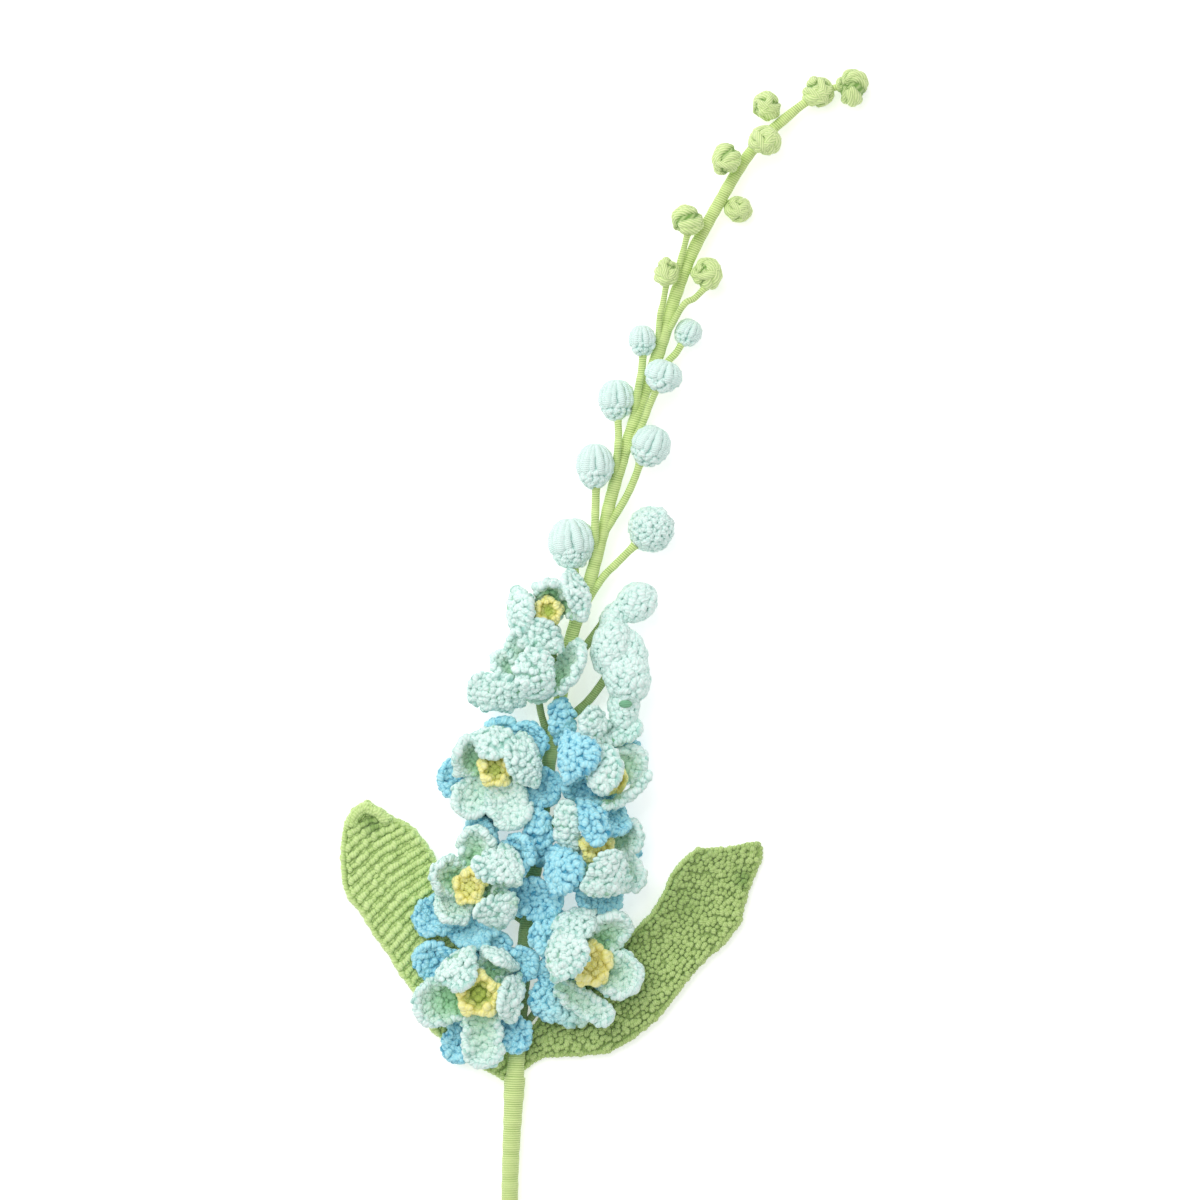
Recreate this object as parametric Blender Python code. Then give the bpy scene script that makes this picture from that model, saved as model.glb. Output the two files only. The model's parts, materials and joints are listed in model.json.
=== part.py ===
"""A crocheted delphinium flower spike, lying on its back on a table.

Metres, +Z up. +X is the photograph's right and +Y its top, so the tip of the spike points along +Y and the
flowers face up. The origin is the middle of the spike's box on the table's surface, z = 0.

Run it in Blender with: blender --background --python part.py
"""

import math
from dataclasses import dataclass

import bmesh
import bpy
from mathutils import Vector

# Driving dimensions, in metres.
MM = 0.001
PHOTO_SPAN = 0.576  # the width of the object's plane that the photograph takes in
PHOTO_PIXELS = 1200
PIXEL = PHOTO_SPAN / PHOTO_PIXELS
ORIGIN_PIXEL = (604.9, 698.9)  # the pixel that lies over the origin

CLEARANCE = 0.4 * MM  # between two pieces that touch
FABRIC = 2.1 * MM  # thickness of a crocheted petal
LEAF_THICKNESS = 3.4 * MM
WIRE_RADIUS = 0.95 * MM
BORE_RADIUS = 1.4 * MM
RING_RADIUS = 4.4 * MM  # where a ring's petals start, from its axis
DISC_RADIUS = 6.4 * MM  # the crocheted disc that holds them
DISC_THICKNESS = 2.8 * MM
SEPALS_BEHIND = 3.6 * MM  # the sepal disc's middle, behind the petal disc's
CENTRE_HEIGHT = 6.5 * MM
CENTRE_MOUTH = 6.3 * MM
CENTRE_FOOT = 3.4 * MM
CENTRE_HOLE = 3.2 * MM
CENTRE_LOBES = 5
CENTRE_LOBE_GAP = 0.9  # the cup's radius between two lobes, as a share of the radius at a lobe
FLOWER_PEDICEL_RADIUS = 2.0 * MM
BORE_PAST_END = 2 * MM  # how far the bore's cutter sticks out of the cut end of the stem
WIRE_END_GAP = 0.1  # where the wire stops short in the bore's last stretch, as a share of that stretch

PETAL_WIDEST_AT = 0.58  # from the petal's base to its tip
PETAL_BASE_WIDTH = 0.36  # as a share of the full width
PETAL_TIP_ROUNDING = 0.88  # 1 would close the tip to a point, and 0 would leave it square
PETAL_CURL = 0.22  # how far the edges curl inwards, as a share of half the width
PETAL_ROWS = (0.0, 0.3, 0.62, 0.86, 1.0)  # from the base to the tip
PETAL_COLUMNS = (-1.0, -0.45, 0.45, 1.0)  # from edge to edge

STEM_SIDES = 10
WIRE_SIDES = 8
PEDICEL_SIDES = 8
DISC_SIDES = 10
BUD_SIDES = 10
BUD_RINGS = 7
SHARP_ANGLE = math.radians(40)
UP = Vector((0.0, 0.0, 1.0))

# Each yarn's colour, then the wire's, with the roughness and the metallic value of each.
FINISHES = {
    "stem": ("stem_yarn", (0.55, 0.73, 0.22), 0.9, 0.0),
    "leaf": ("leaf_yarn", (0.35, 0.55, 0.13), 0.9, 0.0),
    "green_bud": ("green_bud_yarn", (0.50, 0.70, 0.24), 0.9, 0.0),
    "mint": ("mint_yarn", (0.60, 0.86, 0.76), 0.9, 0.0),
    "blue": ("blue_yarn", (0.12, 0.47, 0.75), 0.9, 0.0),
    "yellow": ("yellow_yarn", (0.93, 0.80, 0.18), 0.9, 0.0),
    "steel": ("wire_steel", (0.45, 0.45, 0.44), 0.4, 1.0),
}


@dataclass(frozen=True)
class Petal:
    """One petal: tip is in pixels, turn in degrees round the flower's axis, and lift, width and arch in mm."""

    turn: float
    tip: tuple[float, float]
    lift: float
    width: float
    arch: float


@dataclass(frozen=True)
class Flower:
    """One open flower. hub is its middle, in pixels with its lift in mm. facing points out of its cup."""

    name: str
    hub: tuple[float, float, float]
    facing: tuple[float, float, float]
    petals: tuple[Petal, ...]
    sepals: tuple[Petal, ...]
    joins: tuple[tuple[float, float, float], ...]  # its pedicel, from the stem to just behind the hub


@dataclass(frozen=True)
class Bud:
    """One bud. Its middle is in pixels with its lift in mm, its width and length in mm, lean in degrees."""

    middle: tuple[float, float, float]
    width: float
    length: float
    lean: float
    pedicel: tuple[tuple[float, float, float], ...] = ()
    pedicel_width: float = 3.2


# The stem's centre line: pixel x, pixel y, lift in mm and radius in mm.
STEM_LINE = (
    (509.0, 1330, 4.1, 4.1),
    (509.6, 1200, 4.1, 4.1),
    (511.0, 1150, 4.3, 4.3),
    (513.0, 1110, 4.8, 4.7),
    (514.6, 1078, 5.4, 5.2),
    (517.0, 1050, 5.3, 4.4),
    (521.5, 985, 5.6, 4.0),
    (530.0, 900, 6.2, 3.9),
    (541.0, 820, 7.0, 3.8),
    (552.0, 740, 8.2, 3.6),
    (560.0, 700, 9.0, 3.4),
    (570.6, 640, 10.0, 3.3),
    (590.0, 580, 10.6, 3.3),
    (601.0, 540, 10.8, 3.0),
    (610.5, 500, 10.8, 3.1),
    (622.0, 460, 10.4, 3.1),
    (634.6, 420, 10.0, 3.0),
    (649.0, 380, 9.6, 3.1),
    (662.5, 340, 9.2, 3.3),
    (674.0, 300, 8.8, 3.2),
    (691.0, 255, 8.4, 3.1),
    (716.0, 208, 8.2, 3.0),
    (742.0, 164, 8.2, 2.9),
    (763.0, 138, 8.2, 2.7),
    (788.0, 116, 8.3, 2.5),
    (803.0, 104, 8.4, 2.1),
)
BORE_ENDS_AT = 22  # the wire stops at this point of the line, where the stem is still thick enough

GREEN_BUDS = (
    Bud((852.5, 87, 7.8), 15.6, 18.6, 8),
    Bud((818.5, 92, 7.7), 15.4, 15.6, 40),
    Bud((766.5, 106, 9.0), 14.0, 14.6, 30),
    Bud((764.5, 142, 18.8), 14.6, 13.8, 20),
    Bud((726.0, 160, 15.8), 13.4, 17.0, 12),
    Bud((738.0, 209, 6.4), 12.6, 12.6, 0),
    Bud((687.0, 221, 15.6), 15.6, 14.8, 0, ((686.5, 238, 14.0), (683.5, 250, 12.6), (680, 262, 12.4)), 3.0),
    Bud((666.5, 273, 15.2), 12.0, 13.6, 0, ((666, 289, 13.4), (663, 303, 12.0), (659.5, 318, 12.8)), 3.0),
    Bud((707.0, 274, 12.4), 13.8, 15.4, 15, ((702, 291.5, 13.2), (694, 299, 14.4), (683, 306, 15.2)), 3.2),
)

MINT_BUDS = (
    Bud((642.0, 340, 13.6), 12.6, 15.4, 0, ((643, 357.5, 12.4), (641.5, 372, 13.2), (638.5, 387, 14.2)), 3.8),
    Bud((688.5, 332, 8.4), 12.6, 14.2, 30, ((681, 345, 8.8), (676, 353, 9.0), (667, 363, 9.2)), 3.6),
    Bud((663.0, 376.5, 21.0), 17.0, 15.8, 20, ((656, 391, 17.6), (649, 407, 15.9), (642, 425, 15.6)), 3.4),
    Bud((616.5, 399.5, 10.6), 16.6, 20.2, 0, ((618, 422, 11.4), (618.5, 436, 12.8), (617.5, 450, 15.0)), 3.6),
    Bud((650.5, 446, 15.2), 17.4, 20.6, 25, ((638, 468.5, 13.4), (634, 480, 12.2), (624.5, 500, 12.0)), 3.8),
    Bud((595.0, 466, 15.6), 17.0, 22.2, 0, ((596, 491, 14.2), (595.5, 508, 13.2), (595, 526, 15.4)), 4.0),
    Bud((571.5, 543, 12.8), 20.6, 24.8, -5, ((574, 571, 12.2), (575.5, 577, 12.0), (577, 583, 11.6)), 4.4),
    Bud((651.0, 529, 10.9), 21.8, 21.4, 50, ((631, 549.5, 10.8), (616, 564, 10.8), (602, 578.5, 10.7)), 3.8),
)

FLOWERS = (
    Flower(
        "flower_a",
        (549, 611, 17.0),
        (-0.05, 0.0, 1.0),
        (
            Petal(175, (530, 598), 29, 18, 8),
            Petal(92, (553, 588), 29, 15, 3),
            Petal(5, (565, 598), 30, 22, 6),
            Petal(262, (541, 619), 29, 18, 11),
        ),
        (),
        ((560, 700, 9.4), (555, 668, 10.4), (551, 636, 11.2), (549.5, 616, 12.6)),
    ),
    Flower(
        "flower_b",
        (538, 692, 18.0),
        (-0.1, 0.8, 0.6),
        (
            Petal(268, (534, 656), 32, 19, 7),
            Petal(8, (576, 648), 24, 17, 4),
            Petal(178, (474, 684), 15, 17, 5),
            Petal(140, (502, 655), 15, 13, 4),
            Petal(100, (518, 642), 11, 13, 3),
        ),
        (),
        ((549, 748, 7.9), (545, 728, 9.4), (541, 713, 11.6), (539, 700.5, 15.2)),
    ),
    Flower(
        "flower_e",
        (495, 770, 15.5),
        (0.05, 0.1, 1.0),
        (
            Petal(170, (458, 750), 26, 20, 7),
            Petal(95, (489, 756), 29, 16, 14),
            Petal(15, (507, 764), 32, 22, 15),
            Petal(232, (456, 806), 19, 20, 4),
            Petal(286, (513, 824), 21, 19, 2.5),
        ),
        (
            Petal(88, (503, 721), 13, 16, 5),
            Petal(42, (543, 737), 17, 18, 4),
            Petal(332, (557, 794), 14, 16, 1.5),
            Petal(195, (446, 785), 9, 18, 4),
            Petal(255, (484, 832), 7, 17, 3),
        ),
        ((545, 812, 7.1), (524, 800, 7.2), (506, 784, 7.4), (497, 774, 7.8)),
    ),
    Flower(
        "flower_f",
        (606, 778, 18.0),
        (0.7, -0.05, 0.7),
        (
            Petal(112, (592, 712), 26, 18, 6),
            Petal(60, (636, 728), 21, 15, 5),
            Petal(0, (642, 757), 14, 18, 4),
            Petal(290, (646, 776), 26, 14, 8),
            Petal(185, (618, 756), 39, 21, 12),
        ),
        (
            Petal(122, (560, 702), 19, 14, 3),
            Petal(180, (576, 750), 30, 18, 9),
            Petal(228, (566, 792), 18, 14, 4),
            Petal(282, (618, 829), 26, 16, 4),
            Petal(30, (636, 742), 7, 15, 3),
        ),
        ((537, 850, 6.8), (556, 818, 7.0), (579, 792, 8.0), (596.5, 778.5, 13.0)),
    ),
    Flower(
        "flower_g",
        (475, 887, 15.5),
        (-0.4, 0.1, 0.9),
        (
            Petal(100, (474, 831), 22, 18, 5),
            Petal(168, (436, 872), 23, 18, 5),
            Petal(222, (438, 908), 20, 17.5, 6),
            Petal(30, (473, 865), 35, 18.5, 16),
            Petal(316, (475, 909), 29, 18.5, 12.5),
        ),
        (
            Petal(38, (524, 848), 25, 18, 5),
            Petal(215, (416, 926), 10, 18, 4),
            Petal(265, (462, 946), 9, 20, 4),
            Petal(100, (480, 818), 12, 16, 4),
            Petal(348, (560, 903), 18, 16, 1),
        ),
        ((527, 925, 6.0), (510, 912, 6.0), (494, 898, 6.4), (482, 889, 8.6)),
    ),
    Flower(
        "flower_h",
        (593, 847, 16.0),
        (0.3, 0.1, 0.95),
        (
            Petal(167, (566, 820), 28, 15, 5),
            Petal(15, (640, 836), 19, 17, 5),
            Petal(272, (605, 854), 35, 20, 15),
            Petal(322, (642, 870), 18, 18, 5),
            Petal(78, (601, 828), 21, 11, 1.5),
        ),
        (
            Petal(108, (602, 838), 35, 7.6, 19),
            Petal(198, (580, 864), 30, 17, 10),
            Petal(152, (543, 813), 14, 15, 4),
            Petal(275, (604, 915), 14, 20, 4),
            Petal(345, (638, 850), 9, 15, 3),
        ),
        ((530.5, 897, 6.3), (552, 880, 6.6), (573, 862, 7.0), (588, 850, 8.0)),
    ),
    Flower(
        "flower_i",
        (480, 992, 16.5),
        (-0.12, -0.05, 1.0),
        (
            Petal(195, (417, 1004), 18, 20, 5),
            Petal(128, (470, 985), 30, 19, 13),
            Petal(64, (497, 964), 30, 15, 10.5),
            Petal(342, (508, 987), 29, 20, 9),
            Petal(278, (484, 1066), 16, 18, 3),
        ),
        (
            Petal(150, (417, 957), 10, 18, 4),
            Petal(84, (495, 935), 14, 18, 6),
            Petal(26, (531, 955), 17.5, 16, 4),
            Petal(308, (522, 1046), 12.5, 15, 2),
            Petal(248, (457, 1060), 7, 15, 3),
        ),
        ((518, 1032, 5.4), (504, 1015, 6.0), (491, 1001, 6.8), (484, 995, 7.4)),
    ),
    Flower(
        "flower_j",
        (586, 963, 16.0),
        (0.42, 0.0, 0.9),
        (
            Petal(172, (588, 950), 36, 22, 12),
            Petal(100, (583, 929), 30, 16, 10),
            Petal(48, (626, 927), 21, 17, 5),
            Petal(348, (636, 968), 17, 19, 4),
            Petal(270, (604, 1017), 16, 15, 5),
        ),
        (
            Petal(245, (560, 1022), 9, 16, 5),
            Petal(150, (541, 921), 21, 14, 4),
            Petal(198, (540, 976), 14, 15, 2),
            Petal(80, (602, 918), 8, 13, 3),
            Petal(345, (630, 985), 8, 15, 3),
        ),
        ((518, 1035, 5.4), (541, 1005, 6.0), (562, 977, 6.6), (578, 965, 8.4)),
    ),
)

# Half-open flowers, each as overlapping rounded lumps: middle, width and length in mm, lean in degrees.
FLOWER_C_LUMPS = (
    ((637, 602, 14.0), 16.0, 18.0, 55),
    ((620, 611, 13.8), 9.0, 16.0, 50),
)
FLOWER_C_PEDICEL = ((602.5, 624, 12.0), (594, 635, 9.6), (582, 651, 8.6))
FLOWER_D_LUMPS = (
    ((611, 648, 17.0), 17.0, 23.0, 10),
    ((628, 675, 16.5), 18.0, 27.0, -20),
    ((624, 707, 14.0), 14.5, 19.0, 0),
)
FLOWER_D_PEDICEL = ((601.5, 684, 11.6), (589, 700, 10.2), (572, 716, 9.4))
HALF_OPEN_PEDICEL_WIDTH = 4.2

LEFT_LEAF = (
    (367, 804), (389, 819), (411, 829), (422, 842), (431, 855), (436, 866), (450, 905), (468, 950),
    (486, 1000), (500.5, 1044), (501.0, 1075), (483, 1068), (465, 1055), (445, 1040), (431, 1029),
    (421, 1010), (414, 990), (400, 973), (389, 953), (374, 934), (363, 914), (350, 899), (344, 886),
    (342, 860), (344, 831), (352, 812),
)  # fmt: skip
RIGHT_LEAF = (
    (760, 846), (742, 847), (726, 850), (697, 851), (684, 861), (672, 875), (665, 893), (652, 915),
    (629, 936), (603, 960), (572, 985), (544, 1014), (530.5, 1040), (528.5, 1068), (543, 1057), (585, 1055),
    (610, 1052), (633, 1038), (656, 1020), (669, 1004), (686, 981), (706, 959), (722, 946), (740, 923),
    (741, 910), (749, 885), (761, 858),
)  # fmt: skip


def place(pixel_x, pixel_y, lift_mm):
    """The point in space under a pixel of the photograph, at a height above the table."""
    return Vector(
        (
            (pixel_x - ORIGIN_PIXEL[0]) * PIXEL,
            (ORIGIN_PIXEL[1] - pixel_y) * PIXEL,
            lift_mm * MM,
        )
    )


def clear_scene():
    """Takes the startup scene's objects away."""
    for obj in list(bpy.data.objects):
        bpy.data.objects.remove(obj)


def make_material(name, colour, roughness, metallic):
    material = bpy.data.materials.new(name)
    material.use_nodes = True
    shader = material.node_tree.nodes["Principled BSDF"]
    shader.inputs["Base Color"].default_value = (*colour, 1.0)
    shader.inputs["Roughness"].default_value = roughness
    shader.inputs["Metallic"].default_value = metallic
    return material


def solid_from_rings(rings):
    """A closed bmesh through rings of points that have the same count, with a face over each end."""
    bm = bmesh.new()
    loops = [[bm.verts.new(point) for point in ring] for ring in rings]
    count = len(loops[0])
    for lower, upper in zip(loops, loops[1:]):
        for i in range(count):
            j = (i + 1) % count
            bm.faces.new((lower[i], lower[j], upper[j], upper[i]))
    bm.faces.new(list(reversed(loops[0])))
    bm.faces.new(loops[-1])
    bmesh.ops.recalc_face_normals(bm, faces=bm.faces)
    return bm


def add_solid(name, bm, material, helper=False):
    """A named object from a bmesh. A helper only shapes another object, so it stays out of the render."""
    mesh = bpy.data.meshes.new(name)
    bm.to_mesh(mesh)
    bm.free()
    mesh.shade_smooth()
    mesh.set_sharp_from_angle(angle=SHARP_ANGLE)
    mesh.materials.append(material)
    obj = bpy.data.objects.new(name, mesh)
    bpy.context.scene.collection.objects.link(obj)
    if helper:
        obj.hide_render = True
        obj.display_type = "WIRE"
    return obj


def combine(obj, other, operation="UNION"):
    """Joins or cuts obj with a helper object, which stays in the scene as a wire."""
    modifier = obj.modifiers.new(f"{operation.lower()}_{other.name}", "BOOLEAN")
    modifier.operation = operation
    modifier.solver = "EXACT"
    modifier.use_self = operation == "UNION"
    modifier.object = other


def frames_along(points):
    """A side vector and an up vector at each point of a path, turning as little as they can."""
    frames = []
    up = UP
    for i in range(len(points)):
        ahead = (points[min(i + 1, len(points) - 1)] - points[max(i - 1, 0)]).normalized()
        up = (up - up.dot(ahead) * ahead).normalized()
        frames.append((ahead.cross(up), up))
    return frames


def tube(points, radii, sides):
    """A closed round bar along a path, whose radius may change."""
    rings = []
    for point, radius, (side, up) in zip(points, radii, frames_along(points)):
        ring = []
        for i in range(sides):
            angle = 2 * math.pi * i / sides + math.pi / 2
            ring.append(point + radius * (math.cos(angle) * side + math.sin(angle) * up))
        rings.append(ring)
    return solid_from_rings(rings)


def smooth_path(points, steps):
    """Points of a Catmull-Rom curve through the given ones, with so many steps to each stretch."""
    ends = [2 * points[0] - points[1], *points, 2 * points[-1] - points[-2]]
    path = []
    for a, b, c, d in zip(ends, ends[1:], ends[2:], ends[3:]):
        for k in range(steps):
            t = k / steps
            bend = (2 * a - 5 * b + 4 * c - d) * t**2 + (3 * b - a - 3 * c + d) * t**3
            path.append((2 * b + (c - a) * t + bend) / 2)
    path.append(points[-1])
    return path


def ellipsoid(middle, width, length, lean_degrees):
    """A ball of a given width, and of a given length along a line that leans in the picture's plane."""
    lean = math.radians(lean_degrees)
    along = Vector((math.sin(lean), math.cos(lean), 0.0))
    side = Vector((math.cos(lean), -math.sin(lean), 0.0))
    rings = []
    for k in range(BUD_RINGS):
        # The first and last rings are small, so the ends are nearly round and still flat-capped.
        angle = math.pi * (k + 0.5) / BUD_RINGS
        middle_of_ring = middle - math.cos(angle) * length / 2 * along
        radius = math.sin(angle) * width / 2
        ring = []
        for i in range(BUD_SIDES):
            turn = 2 * math.pi * i / BUD_SIDES + math.pi / 2
            ring.append(middle_of_ring + radius * (math.cos(turn) * side + math.sin(turn) * UP))
        rings.append(ring)
    return solid_from_rings(rings)


def plate(outline, thickness):
    """A flat plate that lies on the table, from an outline in pixels."""
    lower = [place(x, y, 0.0) for x, y in outline]
    upper = [point + thickness * UP for point in lower]
    return solid_from_rings([lower, upper])


def flower_axes(facing):
    """The flower's axis, and the two directions across it from which its petals' turns are counted."""
    axis = Vector(facing).normalized()
    right = Vector((1.0, 0.0, 0.0))
    right = (right - right.dot(axis) * axis).normalized()
    return axis, right, axis.cross(right)


def disc(middle, axes):
    """The flat crocheted disc that holds a ring of petals together."""
    axis, right, across = axes
    rings = []
    for height in (-DISC_THICKNESS / 2, DISC_THICKNESS / 2):
        ring = []
        for i in range(DISC_SIDES):
            angle = 2 * math.pi * i / DISC_SIDES
            outward = math.cos(angle) * right + math.sin(angle) * across
            ring.append(middle + height * axis + DISC_RADIUS * outward)
        rings.append(ring)
    return solid_from_rings(rings)


def petal_width_at(v):
    """A petal's width at v from its base to its tip, as a share of its full width."""
    if v < PETAL_WIDEST_AT:
        return PETAL_BASE_WIDTH + (1 - PETAL_BASE_WIDTH) * math.sin(math.pi / 2 * v / PETAL_WIDEST_AT)
    past_widest = (v - PETAL_WIDEST_AT) / (1 - PETAL_WIDEST_AT)
    return math.sqrt(1 - PETAL_TIP_ROUNDING * past_widest**2)


def petal_solid(petal, hub, axes):
    """A thick spoon-shaped petal that arches from its flower's disc to its tip, with its sides curled inwards."""
    axis, right, across = axes
    turn = math.radians(petal.turn)
    outward = math.cos(turn) * right + math.sin(turn) * across
    side = axis.cross(outward)
    base = hub + RING_RADIUS * outward
    tip = place(*petal.tip, petal.lift)
    away = side.cross(tip - base).normalized()
    control = (base + tip) / 2 + 2 * petal.arch * MM * away
    half = petal.width * MM / 2
    curl = PETAL_CURL * half
    layers = ([], [])
    for v in PETAL_ROWS:
        point = (1 - v) ** 2 * base + 2 * v * (1 - v) * control + v**2 * tip
        ahead = (2 * (1 - v) * (control - base) + 2 * v * (tip - control)).normalized()
        outside = side.cross(ahead)
        reach = half * petal_width_at(v)
        for layer, offset in zip(layers, (FABRIC / 2, -FABRIC / 2)):
            row = []
            for u in PETAL_COLUMNS:
                inwards = curl * (u * reach / half) ** 2
                row.append(point + u * reach * side + (offset - inwards) * outside)
            layer.append(row)
    rings = [outer + list(reversed(inner)) for outer, inner in zip(*layers)]
    return solid_from_rings(rings)


def ring_of_petals(name, hub, axes, petals, material):
    """A crocheted ring: a disc with its petals joined to it as one solid."""
    ring = add_solid(name, disc(hub, axes), material)
    for number, petal in enumerate(petals, 1):
        part = add_solid(f"{name}_{number}", petal_solid(petal, hub, axes), material, helper=True)
        combine(ring, part)
    return ring


def flower_centre(name, hub, axes, material):
    """A small five-lobed cup that stands on the petals' disc."""
    axis, right, across = axes
    foot = hub + (DISC_THICKNESS / 2 + CLEARANCE) * axis
    profile = (  # radius and height, up the outside of the cup and down into its hole
        (CENTRE_FOOT, 0.0),
        (CENTRE_MOUTH, 0.75 * CENTRE_HEIGHT),
        (0.9 * CENTRE_MOUTH, CENTRE_HEIGHT),
        (CENTRE_HOLE, 0.8 * CENTRE_HEIGHT),
        (0.4 * CENTRE_HOLE, 0.35 * CENTRE_HEIGHT),
    )
    points_to_a_lobe = 3
    sides = points_to_a_lobe * CENTRE_LOBES
    rings = []
    for radius, height in profile:
        ring = []
        for i in range(sides):
            angle = 2 * math.pi * i / sides
            lobe = 1.0 if i % points_to_a_lobe == 0 else CENTRE_LOBE_GAP
            outward = math.cos(angle) * right + math.sin(angle) * across
            ring.append(foot + height * axis + radius * lobe * outward)
        rings.append(ring)
    return add_solid(name, solid_from_rings(rings), material)


def build_flower(flower, materials):
    """An open flower: its petals, its sepals behind them where it has any, and its yellow middle."""
    axes = flower_axes(flower.facing)
    hub = place(*flower.hub)
    ring_of_petals(f"{flower.name}_petals", hub, axes, flower.petals, materials["mint"])
    if flower.sepals:
        behind = hub - SEPALS_BEHIND * axes[0]
        ring_of_petals(f"{flower.name}_sepals", behind, axes, flower.sepals, materials["blue"])
    flower_centre(f"{flower.name}_centre", hub, axes, materials["yellow"])


def build_stem(materials):
    """The wrapped stem with the open flowers' pedicels bound to it, its bore, and the wire inside."""
    line = [place(x, y, lift) for x, y, lift, _ in STEM_LINE]
    radii = [radius * MM for *_, radius in STEM_LINE]
    stem = add_solid("stem_wrap", tube(line, radii, STEM_SIDES), materials["stem"])
    for flower in FLOWERS:
        path = smooth_path([place(*point) for point in flower.joins], 2)
        body = tube(path, [FLOWER_PEDICEL_RADIUS] * len(path), PEDICEL_SIDES)
        combine(stem, add_solid(f"{flower.name}_pedicel", body, materials["stem"], helper=True))
    past_end = line[0] + (line[0] - line[1]).normalized() * BORE_PAST_END
    bore_line = [past_end, *line[1 : BORE_ENDS_AT + 1]]
    bore_body = tube(bore_line, [BORE_RADIUS] * len(bore_line), WIRE_SIDES)
    bore = add_solid("stem_bore", bore_body, materials["stem"], helper=True)
    combine(stem, bore, "DIFFERENCE")
    wire_end = line[BORE_ENDS_AT].lerp(line[BORE_ENDS_AT - 1], WIRE_END_GAP)
    wire_line = [line[0], *line[1:BORE_ENDS_AT], wire_end]
    wire = tube(wire_line, [WIRE_RADIUS] * len(wire_line), WIRE_SIDES)
    add_solid("stem_wire", wire, materials["steel"])


def build_buds(kind, buds, bud_material, stem_material):
    """A row of buds, each with its pedicel as a piece of its own where it has one."""
    for number, bud in enumerate(buds, 1):
        name = f"{kind}_bud_{number}"
        body = ellipsoid(place(*bud.middle), bud.width * MM, bud.length * MM, bud.lean)
        add_solid(name, body, bud_material)
        if bud.pedicel:
            path = [place(*point) for point in bud.pedicel]
            radii = [bud.pedicel_width * MM / 2] * len(path)
            add_solid(f"{name}_pedicel", tube(path, radii, PEDICEL_SIDES), stem_material)


def build_half_open(name, lumps, pedicel, materials):
    """A half-open flower, as rounded lumps joined into one solid, and its pedicel."""
    body = None
    for number, (middle, width, length, lean) in enumerate(lumps, 1):
        lump = ellipsoid(place(*middle), width * MM, length * MM, lean)
        if body is None:
            body = add_solid(name, lump, materials["mint"])
        else:
            combine(body, add_solid(f"{name}_{number}", lump, materials["mint"], helper=True))
    path = [place(*point) for point in pedicel]
    radii = [HALF_OPEN_PEDICEL_WIDTH * MM / 2] * len(path)
    add_solid(f"{name}_pedicel", tube(path, radii, PEDICEL_SIDES), materials["stem"])


def main():
    clear_scene()
    materials = {key: make_material(*finish) for key, finish in FINISHES.items()}
    build_stem(materials)
    add_solid("leaf_left", plate(LEFT_LEAF, LEAF_THICKNESS), materials["leaf"])
    add_solid("leaf_right", plate(RIGHT_LEAF, LEAF_THICKNESS), materials["leaf"])
    build_buds("green", GREEN_BUDS, materials["green_bud"], materials["stem"])
    build_buds("mint", MINT_BUDS, materials["mint"], materials["stem"])
    build_half_open("flower_c", FLOWER_C_LUMPS, FLOWER_C_PEDICEL, materials)
    build_half_open("flower_d", FLOWER_D_LUMPS, FLOWER_D_PEDICEL, materials)
    for flower in FLOWERS:
        build_flower(flower, materials)


main()
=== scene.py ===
"""The looks of a crocheted delphinium flower spike that lies on its back on a pale table.

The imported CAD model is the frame. Every crocheted piece is made again here with its rows of yarn loops, and stands
for the CAD node of the same name. Metres, +Z up: +X is the photograph's right and +Y its top.
"""

from __future__ import annotations

import json
import logging
import math
from abc import ABC, abstractmethod
from collections.abc import Iterable, Sequence
from dataclasses import dataclass, field, replace
from enum import Enum

import bpy
import numpy as np
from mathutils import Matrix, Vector

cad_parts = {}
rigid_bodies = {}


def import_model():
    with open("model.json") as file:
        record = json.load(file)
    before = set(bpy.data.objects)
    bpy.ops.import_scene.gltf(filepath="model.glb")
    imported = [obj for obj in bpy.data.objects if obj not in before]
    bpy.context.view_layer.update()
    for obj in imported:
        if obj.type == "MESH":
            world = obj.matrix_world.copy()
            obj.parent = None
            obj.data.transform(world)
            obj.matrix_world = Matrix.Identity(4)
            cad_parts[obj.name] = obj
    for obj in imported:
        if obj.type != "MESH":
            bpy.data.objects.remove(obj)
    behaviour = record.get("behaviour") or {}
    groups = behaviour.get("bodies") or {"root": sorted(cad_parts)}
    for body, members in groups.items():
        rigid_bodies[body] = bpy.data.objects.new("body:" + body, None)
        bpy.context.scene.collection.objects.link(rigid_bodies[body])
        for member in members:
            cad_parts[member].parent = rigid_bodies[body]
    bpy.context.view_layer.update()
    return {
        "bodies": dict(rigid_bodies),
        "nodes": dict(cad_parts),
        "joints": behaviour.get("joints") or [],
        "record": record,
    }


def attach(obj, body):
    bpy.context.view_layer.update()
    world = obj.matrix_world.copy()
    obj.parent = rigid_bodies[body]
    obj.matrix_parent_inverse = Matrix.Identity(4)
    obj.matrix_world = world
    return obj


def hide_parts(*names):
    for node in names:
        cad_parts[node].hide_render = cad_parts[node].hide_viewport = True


LOG = logging.getLogger("delphinium")

MM = 0.001
BODY = "root"
YARN_UV = "yarn"
SEED = 7

Array = np.ndarray
Colour = tuple[float, float, float]
Pixel = tuple[float, float]
PixelLift = tuple[float, float, float]


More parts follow.
